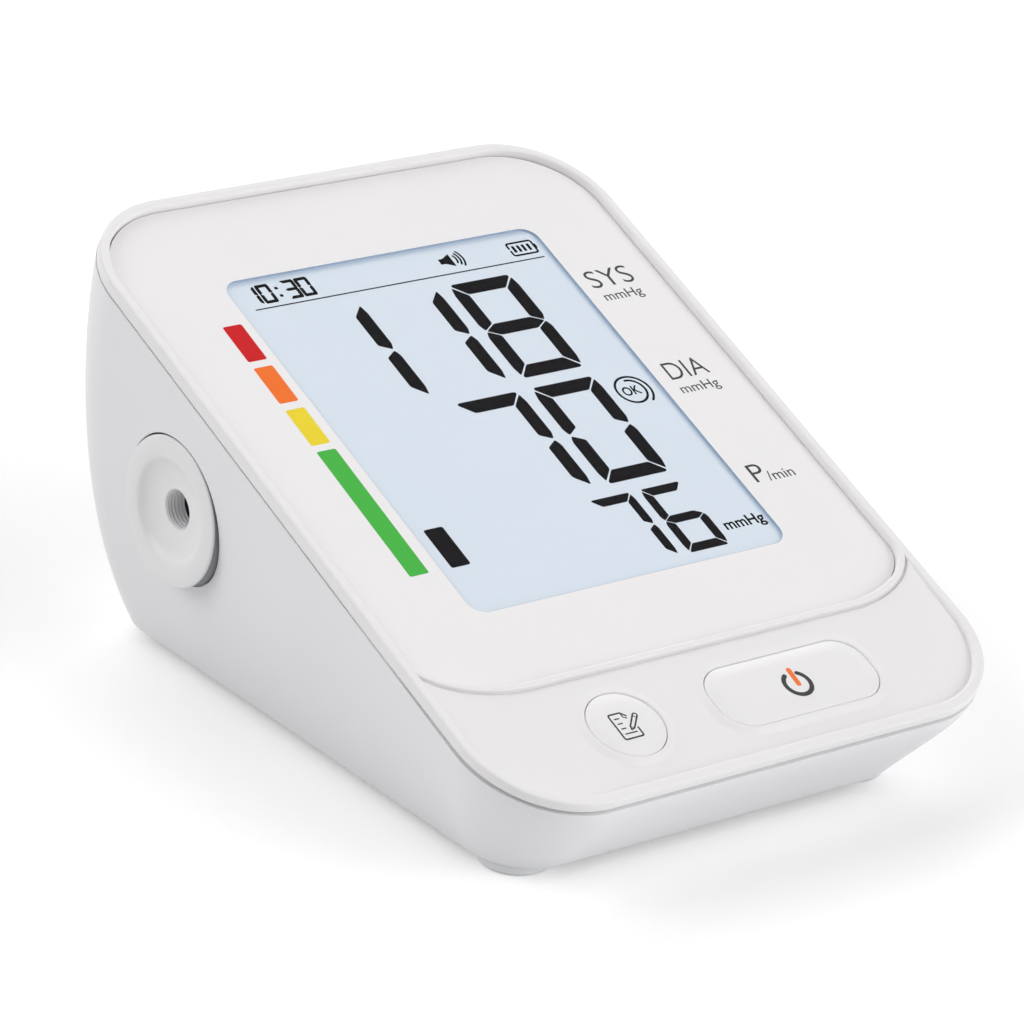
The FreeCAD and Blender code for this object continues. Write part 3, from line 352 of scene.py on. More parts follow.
def socket_skins():
    """Socket, and the grey sleeve and black bore ring, which are painted shade of the flange's side
    and of the deep bore. The socket's face comes from its slope, summed from the outer edge
    inwards: a faintly crowned ring, then a bowl that is steepest just inside its rim and flattens
    towards the hole. Behind its edge the flange narrows to a neck for the sleeve. The bore's radius
    swings as a sine for the ribs."""
    face, seat, back, bore_length = -50.0, -46.3, -37.5, 10.2
    flange, neck, mouth, bore, hole, barrel = 12.3, 11.6, 3.3, 3.15, 1.2, 6.4
    groove, groove_start, groove_end = 4.5, 3.15, 4.3
    edge, lip_width, lip_round = 0.32, 0.25, 0.3
    rib, pitch, run_in = 0.045, 0.65, 0.4
    radius = np.linspace(flange - edge, mouth + lip_width, 90)
    slope = np.interp(radius, [3.5, 4.6, 6.5, 7.6, 8.0, 8.5, 9.1, 10.2, 12.0],
                      [2, 5, 15, 27, 38, 34, 8, 0, -7])
    steps = np.tan(np.radians((slope[1:] + slope[:-1]) / 2)) * -np.diff(radius)
    fall = np.concatenate([[0.0], np.cumsum(steps)])
    across = face + fall - fall.min()
    outer = arc((flange - edge, across[0] + edge), edge, 10, -84, 11)
    lip = arc((mouth + lip_width, across[-1] + lip_round), lip_round, -92, -180, 8)
    reach = np.linspace(lip[-1][1] + 0.1, face + bore_length, 140)
    run = reach - reach[0]
    ribs = bore + rib * np.sin(run * 2 * np.pi / pitch) * np.clip(run / run_in, 0, 1)
    start, end = reach[0] + groove_start, reach[0] + groove_end
    before, after = reach < start, reach > end
    radius = np.concatenate([[barrel, neck, neck], outer[:, 0], radius, lip[:, 0], ribs[before],
                             [groove, groove], ribs[after], [hole, hole, barrel]])
    along = np.concatenate([[seat, seat, outer[0, 1] + 0.02], outer[:, 1], across, lip[:, 1],
                            reach[before], [start, end], reach[after], [reach[-1], back, back]])
    # The sleeve and the bore ring are dark pieces of painted shade
    sleeve = hoop(neck + 0.01, flange - 0.03, seat, outer[0, 1] + 0.05)
    ring = hoop(bore - 0.06, groove - 0.02, end - 0.02, start + 0.02)
    return turned(radius, along), sleeve, ring


flange_skin, shade_sleeve_skin, bore_shade_ring_skin = socket_skins()
socket_white = moulded("socket_white", (232, 232, 233), (228, 228, 230), 0.38)
piece("air_socket_turned", [flange_skin], socket_white, "case", ["air_socket"])
# Grey sleeve: painted shade of the flange's side
shade_sleeve_grey = moulded("shade_sleeve_grey", (150, 151, 155), (143, 144, 148), 0.7,
                        Specular_IOR_Level=0.2)
piece("socket_shade_sleeve", [shade_sleeve_skin], shade_sleeve_grey, "case")
# Black bore ring: painted shade deep in the bore
bore_shade_black = moulded("bore_shade_black", (40, 40, 42), (34, 34, 36), 0.6, Specular_IOR_Level=0.2)
piece("socket_bore_shade", [bore_shade_ring_skin], bore_shade_black, "case")
finish(moulded("seal_rubber", (58, 58, 60), (46, 46, 48), 0.75, bump=0.00004), "socket_seal")


# Air path: the block behind the socket, the socket's nut and the pump's head are moulded plastic,
# and silicone tubes pushed onto their nipples lead to the pump, the valve and the sensor.
finish(moulded("air_plastic", (206, 208, 210), (196, 198, 201), 0.45, bump=0.00002),
       "air_block", "socket_nut", "pump_head")
finish(moulded("tube_silicone", (222, 222, 214), (208, 208, 199), 0.55, bump=0.00002), "air_tubes")


# Pump and valve: a can motor of drawn steel drives the pump's head by a nylon crank, and the
# release valve is a solenoid in a steel body with a sliding steel plunger.
finish(plated("motor_steel", (170, 172, 175), (140, 142, 146), 0.3),
       "pump_motor", "valve_body", "valve_plunger")
finish(moulded("crank_nylon", (214, 210, 200), (202, 198, 187), 0.5, bump=0.00002), "pump_crank")


# Boards: glass-fibre sheets in green solder mask, screwed under the cover. They carry a packaged
# processor, a pressure sensor, and two push switches with nylon stems.

def mask_material():
    """Solder mask: copper tracks read through the green where a cell pattern is near its edges."""
    material, tree, shader = fresh("board_mask")
    cells = node(tree, "TexVoronoi", Scale=260.0, Vector=node(tree, "TexCoord").outputs["Object"])
    cells.feature = "DISTANCE_TO_EDGE"
    track = sums(tree, "LESS_THAN", cells.outputs["Distance"], 0.06)
    bumps = node(tree, "Bump", Distance=0.00003, Height=track)
    feeds(tree, shader, Base_Color=blended(tree, track, ink(28, 92, 58), ink(52, 128, 84)),
          Roughness=sums(tree, "MULTIPLY_ADD", track, 0.12, 0.5), Normal=bumps.outputs["Normal"])
    return material


finish(mask_material(), "main_board", "key_board")
finish(moulded("chip_epoxy", (40, 40, 42), (32, 32, 34), 0.55, bump=0.00003),
       "processor", "memory_switch", "start_switch")
finish(moulded("sensor_case", (222, 222, 218), (210, 210, 206), 0.5, bump=0.00002),
       "pressure_sensor")
finish(moulded("plunger_nylon", (70, 70, 74), (60, 60, 64), 0.45, bump=0.00002),
       "memory_plunger", "start_plunger")


# Display: liquid crystal glass over a milky light guide in a white tray. Its front glass has a step
# that stands up into the opening of the face sheet, and a pale blue film with painted shade along
# two edges.

TILT = np.radians(22.0)


def on_face(across, up, height):
    """Millimetres on the sloping face, across, up the slope and square to it, as x, y, z."""
    across, up, height = np.broadcast_arrays(*(np.asarray(a, float) for a in (across, up, height)))
    return np.stack([across, up * np.cos(TILT) - height * np.sin(TILT) + FACE_Y,
                     up * np.sin(TILT) + height * np.cos(TILT) + FACE_Z], -1)


def laid(line, height):
    """Flat line, given across and up the slope, laid on the face at a height."""
    return on_face(line[..., 0], line[..., 1], height)


def rounded_loop(left, right, front, back, radius, corner=20, side=10):
    """Rectangle with round corners as a closed loop: each side in equal steps, each corner as an
    arc. Also gives the outward direction at each point."""
    step = np.linspace(0, 1, side, endpoint=False)[:, None]
    bends = np.linspace(0, np.pi / 2, corner, endpoint=False)
    centres = np.array([[right - radius, front + radius], [right - radius, back - radius],
                        [left + radius, back - radius], [left + radius, front + radius]])
    loop, way = [], []
    for i in range(4):
        turn = bends + (i - 1) * np.pi / 2
        round_way = np.stack([np.cos(turn), np.sin(turn)], -1)
        last = np.array([np.cos(i * np.pi / 2), np.sin(i * np.pi / 2)])
        start = centres[i] + radius * last
        end = centres[(i + 1) % 4] + radius * last
        loop += [centres[i] + radius * round_way, start + (end - start) * step]
        way += [round_way, np.repeat(last[None], side, 0)]
    return np.vstack(loop), np.vstack(way)


def slab(loops, heights, closed=False):
    """Solid through flat loops on the face, each at its own height. With closed, it is a ring."""
    return skin([laid(loop, height) for loop, height in zip(loops, heights)], closed)


def film_material():
    """Display film: pale blue, with painted shade of the opening's recess over about a millimetre
    and a half at the back and right edges, where the deeper of the two ramps, each smooth, is
    taken. It also glows faintly. A faint cloud keeps it from being flat."""
    material, tree, shader = fresh("display_film")
    place = node(tree, "TexCoord").outputs["Object"]
    axes = node(tree, "SeparateXYZ", Vector=place).outputs
    edge_shade_ramps = []
    for axis, start, end in (("X", 0.0304, 0.03175), ("Y", 0.0442, 0.0456)):
        shade_ramp = node(tree, "MapRange", From_Min=start, From_Max=end, Value=axes[axis])
        shade_ramp.interpolation_type = "SMOOTHSTEP"
        edge_shade_ramps.append(shade_ramp.outputs["Result"])
    cloud = noise(tree, place, size=0.03, detail=2.0)
    open_blue = blended(tree, cloud, ink(193, 201, 210), ink(190, 199, 208))
    # Painted shade of the recess: the pale blue turns to a darker blue at the back and right edges
    shown = blended(tree, sums(tree, "MAXIMUM", *edge_shade_ramps), open_blue, ink(166, 179, 195))
    # The faint glow stands for the backlight and also lightens the shade that falls in the recess
    feeds(tree, shader, Base_Color=shown, Emission_Color=shown, Emission_Strength=0.4,
          Specular_IOR_Level=0.2, Roughness=sums(tree, "MULTIPLY_ADD", cloud, 0.1, 0.5))
    return material


def window_loop(margin):
    """Outline of the display's opening, grown by a margin."""
    left, right, front, back, radius = -30.85, 31.75, 40.8, 117.7, 3.0
    return rounded_loop(left - margin, right + margin, front - margin, back + margin,
                        radius + margin)[0]


GLASS_FOOT, GLASS_STEP, GLASS_TOP = -3.84, -2.42, -1.85
glass_edge, step_edge = window_loop(1.4), window_loop(-0.02)
piece("display_front_film", [slab([glass_edge, glass_edge, step_edge, step_edge],
                                  [GLASS_FOOT, GLASS_STEP, GLASS_STEP, GLASS_TOP])],
      film_material(), "case")
finish(moulded("glass_grey", (196, 206, 214), (188, 198, 208), 0.12, bump=0.000005), "lcd_panel")
finish(moulded("guide_milk", (236, 238, 238), (228, 231, 231), 0.3), "lcd_backlight")
finish(moulded("tray_white", (228, 228, 224), (220, 220, 216), 0.5, bump=0.00002), "lcd_frame")


# Display signs: the liquid crystal's dark shapes, etched electrodes a few hundredths of a
# millimetre deep. Large figures for the two pressures, smaller ones for the pulse, the clock and
# plain signs in the head line.

def softened(corners, radius):
    """Closed outline with each corner cut back by a radius, or by a little under half a short side,
    and bowed through the corner as five points of a quadratic curve."""
    corners = np.asarray(corners, float)
    before = np.roll(corners, 1, 0) - corners
    after = np.roll(corners, -1, 0) - corners
    reach_before = np.linalg.norm(before, axis=1, keepdims=True)
    reach_after = np.linalg.norm(after, axis=1, keepdims=True)
    start = corners + before / reach_before * np.minimum(radius, reach_before * 0.45)
    end = corners + after / reach_after * np.minimum(radius, reach_after * 0.45)
    share = np.linspace(0, 1, 5)[None, :, None]
    bow = ((1 - share) ** 2 * start[:, None] + 2 * share * (1 - share) * corners[:, None]
           + share ** 2 * end[:, None])
    return bow.reshape(-1, 2)


def stroke(path, width):
    """Outline of a line of even width along a path, with round ends: the path moved both ways."""
    path = np.asarray(path, float)
    way = np.gradient(path, axis=0)
    way /= np.linalg.norm(way, axis=1, keepdims=True)
    left = np.stack([-way[:, 1], way[:, 0]], -1)
    side = left * width / 2
    turn = np.radians(np.linspace(90, -90, 7))[1:-1, None]
    tail, tip = (width / 2 * (np.cos(turn) * way[i] + np.sin(turn) * left[i]) for i in (0, -1))
    return np.vstack([path + side, path[-1] + tip, (path - side)[::-1], path[0] - tail])


def turning(outline):
    """Twice the area inside a closed outline, positive where it runs left about."""
    after = np.roll(outline, -1, 0)
    return np.sum(outline[:, 0] * after[:, 1] - outline[:, 1] * after[:, 0])


def plates(outlines, low, high):
    """Thin plates on the face: each outline at two heights, joined by a wall and closed by one face
    each side."""
    skins = []
    for outline in outlines:
        loop = outline if turning(outline) > 0 else outline[::-1]
        count = len(loop)
        here = np.arange(count)
        after = (here + 1) % count
        walls = np.stack([here, after, after + count, here + count], -1).tolist()
        points = np.vstack([laid(loop, low), laid(loop, high)])
        skins.append((points, walls + [here[::-1].tolist(), (here + count).tolist()]))
    return skins


def figure(lit, left, foot, scale):
    """Seven bars of one figure, a to g, from the top bar and the upper right bar turned over:
    mirrored left to right and top to bottom about the middle of a cell 13.1 wide and 22.9 high."""
    top = np.array([(0.9, 22.9), (12.2, 22.9), (12.5, 22.5), (10.35, 20.15), (2.75, 20.15),
                    (0.6, 22.5)])
    upper = np.array([(12.72, 22.2), (13.1, 20.3), (13.1, 12.9), (12.6, 11.6), (10.45, 12.95),
                      (10.45, 19.9)])
    middle = np.array([(0.65, 11.45), (2.8, 12.78), (10.3, 12.78), (12.45, 11.45), (10.3, 10.12),
                       (2.8, 10.12)])
    across, over = np.array([-1, 1]), np.array([1, -1])
    wide, high = np.array([13.1, 0]), np.array([0, 22.9])
    bars = {"a": top, "b": upper, "c": high + upper * over, "d": high + top * over,
            "e": wide + high - upper, "f": wide + upper * across, "g": middle}
    return [softened(bars[bar] * scale + (left, foot), 0.35 * scale) for bar in lit]


def grown(outline, margin):
    """Closed outline moved outwards by a margin, square to the line between each point's
    neighbours."""
    way = np.roll(outline, -1, 0) - np.roll(outline, 1, 0)
    way /= np.linalg.norm(way, axis=1, keepdims=True)
    return outline + np.sign(turning(outline)) * margin * np.stack([way[:, 1], -way[:, 0]], -1)


def block(left, right, front, back, radius):
    """Upright rectangle with softened corners."""
    return softened([(left, front), (right, front), (right, back), (left, back)], radius)


# Figures, row by row: scale, margin, foot line, then each figure with its left edge
BARS = {"0": "abcdef", "1": "bc", "3": "abcdg", "6": "acdefg", "7": "abc", "8": "abcdefg"}
shapes = []
for scale, margin, foot, row in (
        (0.996, 0.0, 85.67, (("1", -22.22), ("1", -6.88), ("8", 8.46))),
        (0.996, 0.0, 60.42, (("7", -6.93), ("0", 8.41))),
        (0.639, 0.0, 43.24, (("7", 2.93), ("6", 13.06))),
        (0.185, 0.07, 112.01, (("1", -27.89), ("0", -25.11), ("3", -20.18), ("0", -17.49)))):
    for sign, left in row:
        shapes += [grown(bar, margin) for bar in figure(BARS[sign], left, foot, scale)]

# Colon of the clock, the head line's rule and the scale's marker
shapes += [block(-21.85, -21.24, front, front + 0.56, 0.1) for front in (114.65, 112.86)]
shapes += [stroke([(-27.8, 111.02), (1.09, 110.97), (30.17, 110.89)], 0.24),
           block(-28.49, -24.81, 51.01, 59.47, 0.45)]

# Loudspeaker sign: a horn and three waves
shapes.append(softened([(10.55, 113.31), (11.45, 113.31), (13.06, 112.41),
                        (13.06, 115.4), (11.45, 114.55), (10.55, 114.55)], 0.1))
shapes += [stroke(arc((12.24, 113.95), reach, -spread, spread, 14), 0.36)
           for reach, spread in ((1.75, 28), (2.4, 32), (3.05, 33))]

# Battery sign: an open outline, four bars and its nub
shapes.append(stroke(np.vstack([
    [(24.94, 114), (24.94, 114.55)],
    arc((25.34, 114.75), 0.4, 180, 90, 5), arc((29.57, 114.75), 0.4, 90, 0, 5),
    arc((29.57, 112.61), 0.4, 0, -90, 5), arc((25.34, 112.61), 0.4, -90, -180, 5),
    [(24.94, 112.86), (24.94, 113.36)]]), 0.38))
shapes += [block(middle - 0.27, middle + 0.27, 112.92, 114.48, 0.08)
           for middle in (25.84, 26.85, 27.85, 28.91)]
shapes.append(block(30.02, 30.42, 113.16, 114.2, 0.12))

# Sign for a good reading: a ring that winds outwards
turn = np.linspace(0, 500, 90)
reach = np.interp(turn, [0, 90, 180, 270, 360, 450, 500], [2.3, 2.52, 2.8, 2.88, 3.12, 3.52, 3.72])
winding = np.stack([26.21 + reach * np.cos(np.radians(90 - turn)),
                    78.45 + reach * np.sin(np.radians(90 - turn))], -1)
shapes.append(stroke(winding, 0.42))


def lettering(words, left, right, base, cap, low, high, thin):
    """Words in Blender's own plain face as a closed mesh, drawn a little thinner, or bolder where
    thin is negative, stretched to a width and to a height of capitals above the base line, and laid
    on the face."""
    curve = bpy.data.curves.new("words", "FONT")
    curve.body = words
    curve.offset = -thin
    curve.extrude = 0.5
    curve.resolution_u = 8
    text = bpy.data.objects.new("words", curve)
    bpy.context.scene.collection.objects.link(text)
    drawn = text.evaluated_get(bpy.context.evaluated_depsgraph_get())
    mesh = bpy.data.meshes.new_from_object(drawn)
    points = np.empty(len(mesh.vertices) * 3)
    mesh.vertices.foreach_get("co", points)
    points = points.reshape(-1, 3)
    faces = [list(face.vertices) for face in mesh.polygons]
    bpy.data.objects.remove(text)
    span = np.ptp(points[:, 0])
    across = left + (points[:, 0] - points[:, 0].min()) * (right - left) / span
    up = base + points[:, 1] * cap / points[:, 1].max()
    return on_face(across, up, low + (points[:, 2] + 0.5) * (high - low)), faces


crystal_black = moulded("crystal_black", (30, 27, 28), (26, 23, 24), 0.8, bump=0.000004,
                        Specular_IOR_Level=0.0)
SIGN_TOP = GLASS_TOP + 0.02
piece("display_signs", plates(shapes, GLASS_TOP, SIGN_TOP), crystal_black, "case")
piece("display_words",
      [lettering("OK", 24.29, 27.73, 77.5, 1.94, GLASS_TOP, SIGN_TOP, -0.018),
       lettering("mmHg", 22.85, 30.97, 45.98, 2.19, GLASS_TOP, SIGN_TOP, -0.018)],
      crystal_black, "case")


# Upper cover: white moulding with the rim, the side band, the button field with its two soft
# collars, and the ridge in front of the face sheet. It plugs into the lower case and is screwed to
# it from below.

def rim_skin():
    """Rim: a closed profile of inset and height carried round the face's outline. The inset of the
    inner side grows from the sides to the ends, so each profile point has a share of that growth.
    The foot lies higher in front than at the sides, for a wider seam there."""
    edge, brink, wide, foot = 0.4, 0.42, 1.65, 0.3
    outer_round = arc((edge, -edge), edge, 180, 90, 8)
    foot_round = arc((foot, -1.75), foot, 270, 180, 7)
    inner_round = arc((wide - brink, -brink), brink, 90, 0, 8)
    profile = np.vstack([[(3.6, -4.0), (3.6, -2.47), (1.1, -2.47), (1.1, -2.05)], foot_round,
                         outer_round, inner_round, [(wide, -2.4), (4.7, -2.4), (4.7, -4.0)]])
    growth = np.concatenate([np.zeros(4 + len(foot_round) + len(outer_round)),
                             np.ones(len(inner_round) + 1), [0, 0]])
    lifts = np.concatenate([[0, 0, 0], np.ones(1 + len(foot_round)),
                            np.zeros(len(outer_round) + len(inner_round) + 3)])
    rows = []
    for (inset, height), share, lift in zip(profile, growth, lifts):
        loop = rounded_loop(-50 + inset, 50 - inset, 0.07 + inset + 0.28 * share,
                            137.33 - inset - 0.03 * share, 17.5 - inset - 0.15 * share, 28, 16)[0]
        seam = np.interp(loop[:, 1], [14.0, 42.0], [0.15, -0.25])
        rows.append(laid(loop, height + lift * seam))
    return skin(rows, closed=True)


def sheet_front(margin):
    """Front line of the face sheet's recess, grown by a margin: straight, with an oval quarter at
    each end, then up both sides. Its margin is laid off square to the line."""
    wide, long_, half, front = 17.0, 10.0, 48.35, 25.4
    turn = np.linspace(np.pi, 1.5 * np.pi, 40)
    quarter = np.stack([wide * np.cos(turn) - (half - wide), long_ * np.sin(turn) + front + long_],
                       -1)
    square = np.stack([np.cos(turn) / wide, np.sin(turn) / long_], -1)
    square /= np.linalg.norm(square, axis=1, keepdims=True)
    quarter = quarter + margin * square
    up = np.linspace(front + long_ + 12, front + long_, 14)[:-1]
    side = np.stack([np.full(len(up), -half - margin), up], -1)
    left = np.vstack([side, quarter])
    middle = np.linspace(-(half - wide), half - wide, 30)[1:-1]
    return np.vstack([left, np.stack([middle, np.full(len(middle), front - margin)], -1),
                      (left * [-1, 1])[::-1]])


def ridge_skin():
    """Ridge: a rounded profile of margin and height carried along the front line of the sheet's
    recess, and sinking a little into the rim at both ends."""
    profile = np.vstack([[(0.06, -2.4)], arc((0.5, -0.44), 0.44, 180, 90, 8),
                         arc((0.95, -0.27), 0.27, 90, 4, 8), [(1.24, -1.0), (1.26, -2.4)]])
    lines = np.stack([sheet_front(margin) for margin in profile[:, 0]], 1)
    sink = np.clip((lines[:, :, 1] - 33.0) / 6.0, 0, 1) * 0.06
    return skin(laid(lines, profile[None, :, 1] - sink))


FIELD_FRONT, FIELD_BACK, FIELD_SIDE, FIELD_SPLIT = 1.5, 23.4, 31.0, -9.3
FIELD_FOOT = -2.6


def field_height(up):
    """Height of the button field, which rises from 1.3 mm below the rim in front to the rim
    further up."""
    return -1.3 * (38.0 - up) / 36.0


def smooth(share):
    """Smooth step from 0 to 1, level at both ends."""
    return share * share * (3 - 2 * share)


def groove_skin():
    """Foot of the ridge: a strip of the field carried along the ridge's line, closed round its
    underside. A fine groove lies against the ridge, and its depth comes in by a smooth step of the
    margin."""
    margin = np.array([2.0, 1.85, 1.8, 1.74, 1.68, 1.62, 1.58, 1.5, 0.65])
    share = np.clip((1.85 - margin) / 0.27, 0, 1)
    lines = np.stack([sheet_front(out)[22:-22] for out in margin], 1)
    height = field_height(lines[..., 1]) - 0.45 * smooth(share)
    section = np.concatenate([lines, lines[:, ::-1]], 1)
    return skin(laid(section, np.concatenate([height, 0 * height + FIELD_FOOT], 1)))


def even_loop(loop, count):
    """The same closed line through count points at equal steps along it."""
    closed = np.vstack([loop, loop[:1]])
    run = np.concatenate([[0.0], np.cumsum(np.linalg.norm(np.diff(closed, axis=0), axis=1))])
    mark = np.linspace(0, run[-1], count, endpoint=False)
    return np.stack([np.interp(mark, run, closed[:, i]) for i in range(2)], -1)


def field_wing(side):
    """Outer part of the button field, between the rim's corner and the oval end of the ridge: a
    strip of sections from its front line to its back line, each closed round its underside."""
    front = rounded_loop(-49.0, 49.0, FIELD_FRONT, 120.0, 16.5, 120, 400)[0]
    front = front[(front[:, 1] < 39.0) & (front[:, 0] > 0)]
    front = front[np.argsort(front[:, 0], kind="stable")]
    ridge = sheet_front(2.0)
    across = FIELD_SIDE + 17.97 * np.sin(np.linspace(0, np.pi / 2, 70))
    high = np.interp(across, ridge[:, 0], ridge[:, 1])
    low = np.minimum(np.interp(across, front[:, 0], front[:, 1]), high - 0.02)
    share = np.linspace(0, 1, 16)
    up = low[:, None] + (high - low)[:, None] * np.concatenate([share, share[::-1]])
    top = field_height(up[:, :len(share)])
    height = np.concatenate([top, np.full(top.shape, FIELD_FOOT)], 1)
    return skin(on_face(side * across[:, None], up, height))


MEMORY, MEMORY_RADIUS = np.array([-21.1, 13.4]), 6.4
START, START_HALF, START_ROUND = np.array([11.5, 13.1]), np.array([15.7, 6.15]), 5.2
COLLAR_TOP = field_height(MEMORY[1]) + 0.42


def memory_loop(margin):
    """Round button's outline grown by a margin, with its outward direction."""
    turn = np.linspace(0, 2 * np.pi, 240, endpoint=False)
    way = np.stack([np.cos(turn), np.sin(turn)], -1)
    return MEMORY + (MEMORY_RADIUS + margin) * way, way


def start_loop(margin):
    """Long button's outline grown by a margin, with its outward direction."""
    (left, front), (right, back) = START - START_HALF - margin, START + START_HALF + margin
    return rounded_loop(left, right, front, back, START_ROUND + margin, 30, 24)


def field_skin(outline, middle, left, right):
    """Middle part of the button field round one button: rows of loops from the hole's wall over its
    lip and soft collar, then fanned out to a rectangle along rays from the button's middle. The
    collar's level crest falls to the field by a smooth step."""
    gap, lip, collar = 0.16, 0.25, 1.85
    rim = even_loop(np.array([(left, FIELD_FRONT), (right, FIELD_FRONT), (right, FIELD_BACK),
                              (left, FIELD_BACK)]), 480)
    turn = np.arctan2(rim[:, 1] - middle[1], rim[:, 0] - middle[0])
    dense, dense_way = outline(gap)
    dense_turn = np.arctan2(dense[:, 1] - middle[1], dense[:, 0] - middle[0])
    hole, way = (np.stack([np.interp(turn, dense_turn, line[:, i], period=2 * np.pi)
                           for i in range(2)], -1) for line in (dense, dense_way))
    way /= np.linalg.norm(way, axis=1, keepdims=True)
    rows = [laid(hole, FIELD_FOOT), laid(hole, COLLAR_TOP - lip)]
    for out, height in arc((lip, COLLAR_TOP - lip), lip, 180, 90, 7)[1:]:
        rows.append(laid(hole + out * way, height))
    for out in np.linspace(lip, collar, 20)[1:]:
        line = hole + out * way
        fall = smooth((out - lip) / (collar - lip))
        rows.append(laid(line, COLLAR_TOP + (field_height(line[:, 1]) - COLLAR_TOP) * fall))
    start = hole + collar * way
    for share in np.linspace(0, 1, 10)[1:]:
        line = start + (rim - start) * share
        rows.append(laid(line, field_height(line[:, 1])))
    rows.append(laid(rim, FIELD_FOOT))
    return skin(rows, closed=True)


def under_plate():
    """Shelf under the face sheet: a flat ring between the plug's outline and the lens opening."""
    outer = rounded_loop(-46.0, 46.0, 21.0, 133.6, 13.0)[0]
    inner = window_loop(1.6)
    return slab([outer, outer, inner, inner], [-4.0, -2.45, -2.45, -4.0], closed=True)


def screw_bosses():
    """Bosses under the cover: round posts with a blind hole, as closed turned shapes square to the
    face."""
    axis, hole, post, top, end = 0.01, 0.95, 2.5, -2.5, -5.2
    turn = np.linspace(0, 2 * np.pi, 24, endpoint=False)
    board = [(across, up, -11.0) for across in (-36.9, 36.9) for up in (44.0, 107.5)]
    key_board = [(-8.6, up, -10.6) for up in (8.2, 18.6)]
    skins = []
    for across, up, foot in board + key_board:
        profile = np.array([(post, top), (post, foot), (hole, foot), (hole, end), (axis, end),
                            (axis, top)])
        reach, height = profile[:, :1], profile[:, 1:]
        skins.append(skin(on_face(across + reach * np.cos(turn), up + reach * np.sin(turn), height),
                          closed=True))
    return skins


cover_white = moulded("cover_white", (238, 236, 237), (235, 233, 234), 0.42,
                      Specular_IOR_Level=0.3)
piece("cover_moulding",
      [rim_skin(), ridge_skin(), groove_skin(),
       field_skin(memory_loop, MEMORY, -FIELD_SIDE, FIELD_SPLIT),
       field_skin(start_loop, START, FIELD_SPLIT, FIELD_SIDE),
       field_wing(-1), field_wing(1), under_plate()] + screw_bosses(),
      cover_white, "case", ["upper_cover"])


# Buttons: two white caps, softly crowned, each with a flange that keeps it under the cover and a
# stem on its switch. Their signs are pad printed.

CAP_TOP = field_height(MEMORY[1]) + 0.88


def edge_distance(points, middle, half, radius):
    """Distance inwards from the edge of a rectangle with round corners."""
    past = np.abs(points - middle) - (np.asarray(half) - radius)
    return radius - np.linalg.norm(np.maximum(past, 0), axis=-1) - np.minimum(past.max(-1), 0)


def cap_skin(outline, middle, half, radius):
    """Button: loops from the middle of its top outwards, scaled about the middle, with the height
    falling towards the edge by the square of the way to it; then the edge's round, the wall, the
    flange, and the stem as a circle."""
    inset, crown, crown_width, edge, stem = 0.2, 0.54, 3.0, 0.25, 1.7
    flange, flange_top, flange_foot, stem_foot = 0.9, -3.2, -4.0, -6.4
    loop = outline(-inset)[0]
    rows = []
    for share in np.sin(np.linspace(0.02, np.pi / 2, 40)):
        line = middle + share * (loop - middle)
        inward = (edge_distance(line, middle, half, radius) - inset) / crown_width
        rows.append(laid(line, CAP_TOP - crown * (1 - np.clip(inward, 0, 1)) ** 2))
    side = [*arc((-inset, CAP_TOP - crown - edge), edge, 75, 0, 6), (edge - inset, flange_top),
            (flange, flange_top), (flange, flange_foot)]
    rows += [laid(outline(margin)[0], height) for margin, height in side]
    turn = np.arctan2(loop[:, 1] - middle[1], loop[:, 0] - middle[0])
    circle = middle + stem * np.stack([np.cos(turn), np.sin(turn)], -1)
    rows += [laid(circle, flange_foot), laid(circle, stem_foot)]
    return skin(rows)


button_white = moulded("button_white", (239, 237, 238), (236, 234, 235), 0.34,
                       Specular_IOR_Level=0.3)
memory_half = (MEMORY_RADIUS, MEMORY_RADIUS)
piece("memory_cap", [cap_skin(memory_loop, MEMORY, memory_half, MEMORY_RADIUS)], button_white,
      "memory_button", ["memory_button"])
piece("start_cap", [cap_skin(start_loop, START, START_HALF, START_ROUND)], button_white,
      "start_button", ["start_button"])


def printed(name, colour, shade, gloss=0.1):
    """Ink of a print: matt and almost without texture."""
    return moulded(name, colour, shade, 0.6, bump=0.000004, Specular_IOR_Level=gloss)


# Sign of the memory button: a page with lines and a pencil
page = [stroke(np.vstack([[(-20.08, 11.94), (-20.08, 10.84)], arc((-20.43, 10.59), 0.35, 0, -90, 5),
                          arc((-23.28, 10.59), 0.35, -90, -180, 5),
                          arc((-23.28, 14.99), 0.35, 180, 90, 5),
                          [(-21.33, 15.34), (-20.63, 14.54)]]), 0.3),
        stroke([(-21.31, 15.29), (-21.28, 14.44), (-20.83, 14.09)], 0.24)]
page += [stroke([(-22.93, up), ((-22.93 + end) / 2, up), (end, up)], 0.24)
         for up, end in ((14.34, -22.18), (13.34, -22.18), (12.32, -22.18), (11.24, -20.78))]
page += [stroke([(-21.38, 11.79), (-21.28, 12.39), (-19.33, 14.59), (-19.08, 14.64),
                 (-18.75, 14.36), (-18.78, 14.09), (-20.78, 11.94), (-21.38, 11.79)], 0.27),
         stroke([(-21.28, 12.39), (-21.03, 12.19), (-20.78, 11.94)], 0.16),
         stroke([(-19.63, 14.24), (-19.38, 13.99), (-19.13, 13.74)], 0.16)]
SIGN_LOW, SIGN_HIGH = CAP_TOP - 0.01, CAP_TOP + 0.015
piece("memory_sign", plates(page, SIGN_LOW, SIGN_HIGH),
      printed("print_grey", (70, 70, 72), (64, 64, 66)), "memory_button")

# Sign of the long button: an open ring and a bar that lies over it
open_ring = stroke(arc((11.65, 12.29), 2.3, 122, 418, 60), 0.78)
bar = stroke([(11.75, 12.16), (11.82, 13.61), (11.9, 15.16)], 0.9)
piece("power_ring", plates([open_ring], SIGN_LOW, SIGN_HIGH),
      printed("print_dark", (72, 72, 74), (66, 66, 68)), "start_button")
piece("power_bar", plates([bar], SIGN_LOW, SIGN_HIGH + 0.005),
      printed("print_orange", (244, 130, 68), (241, 125, 63)), "start_button")
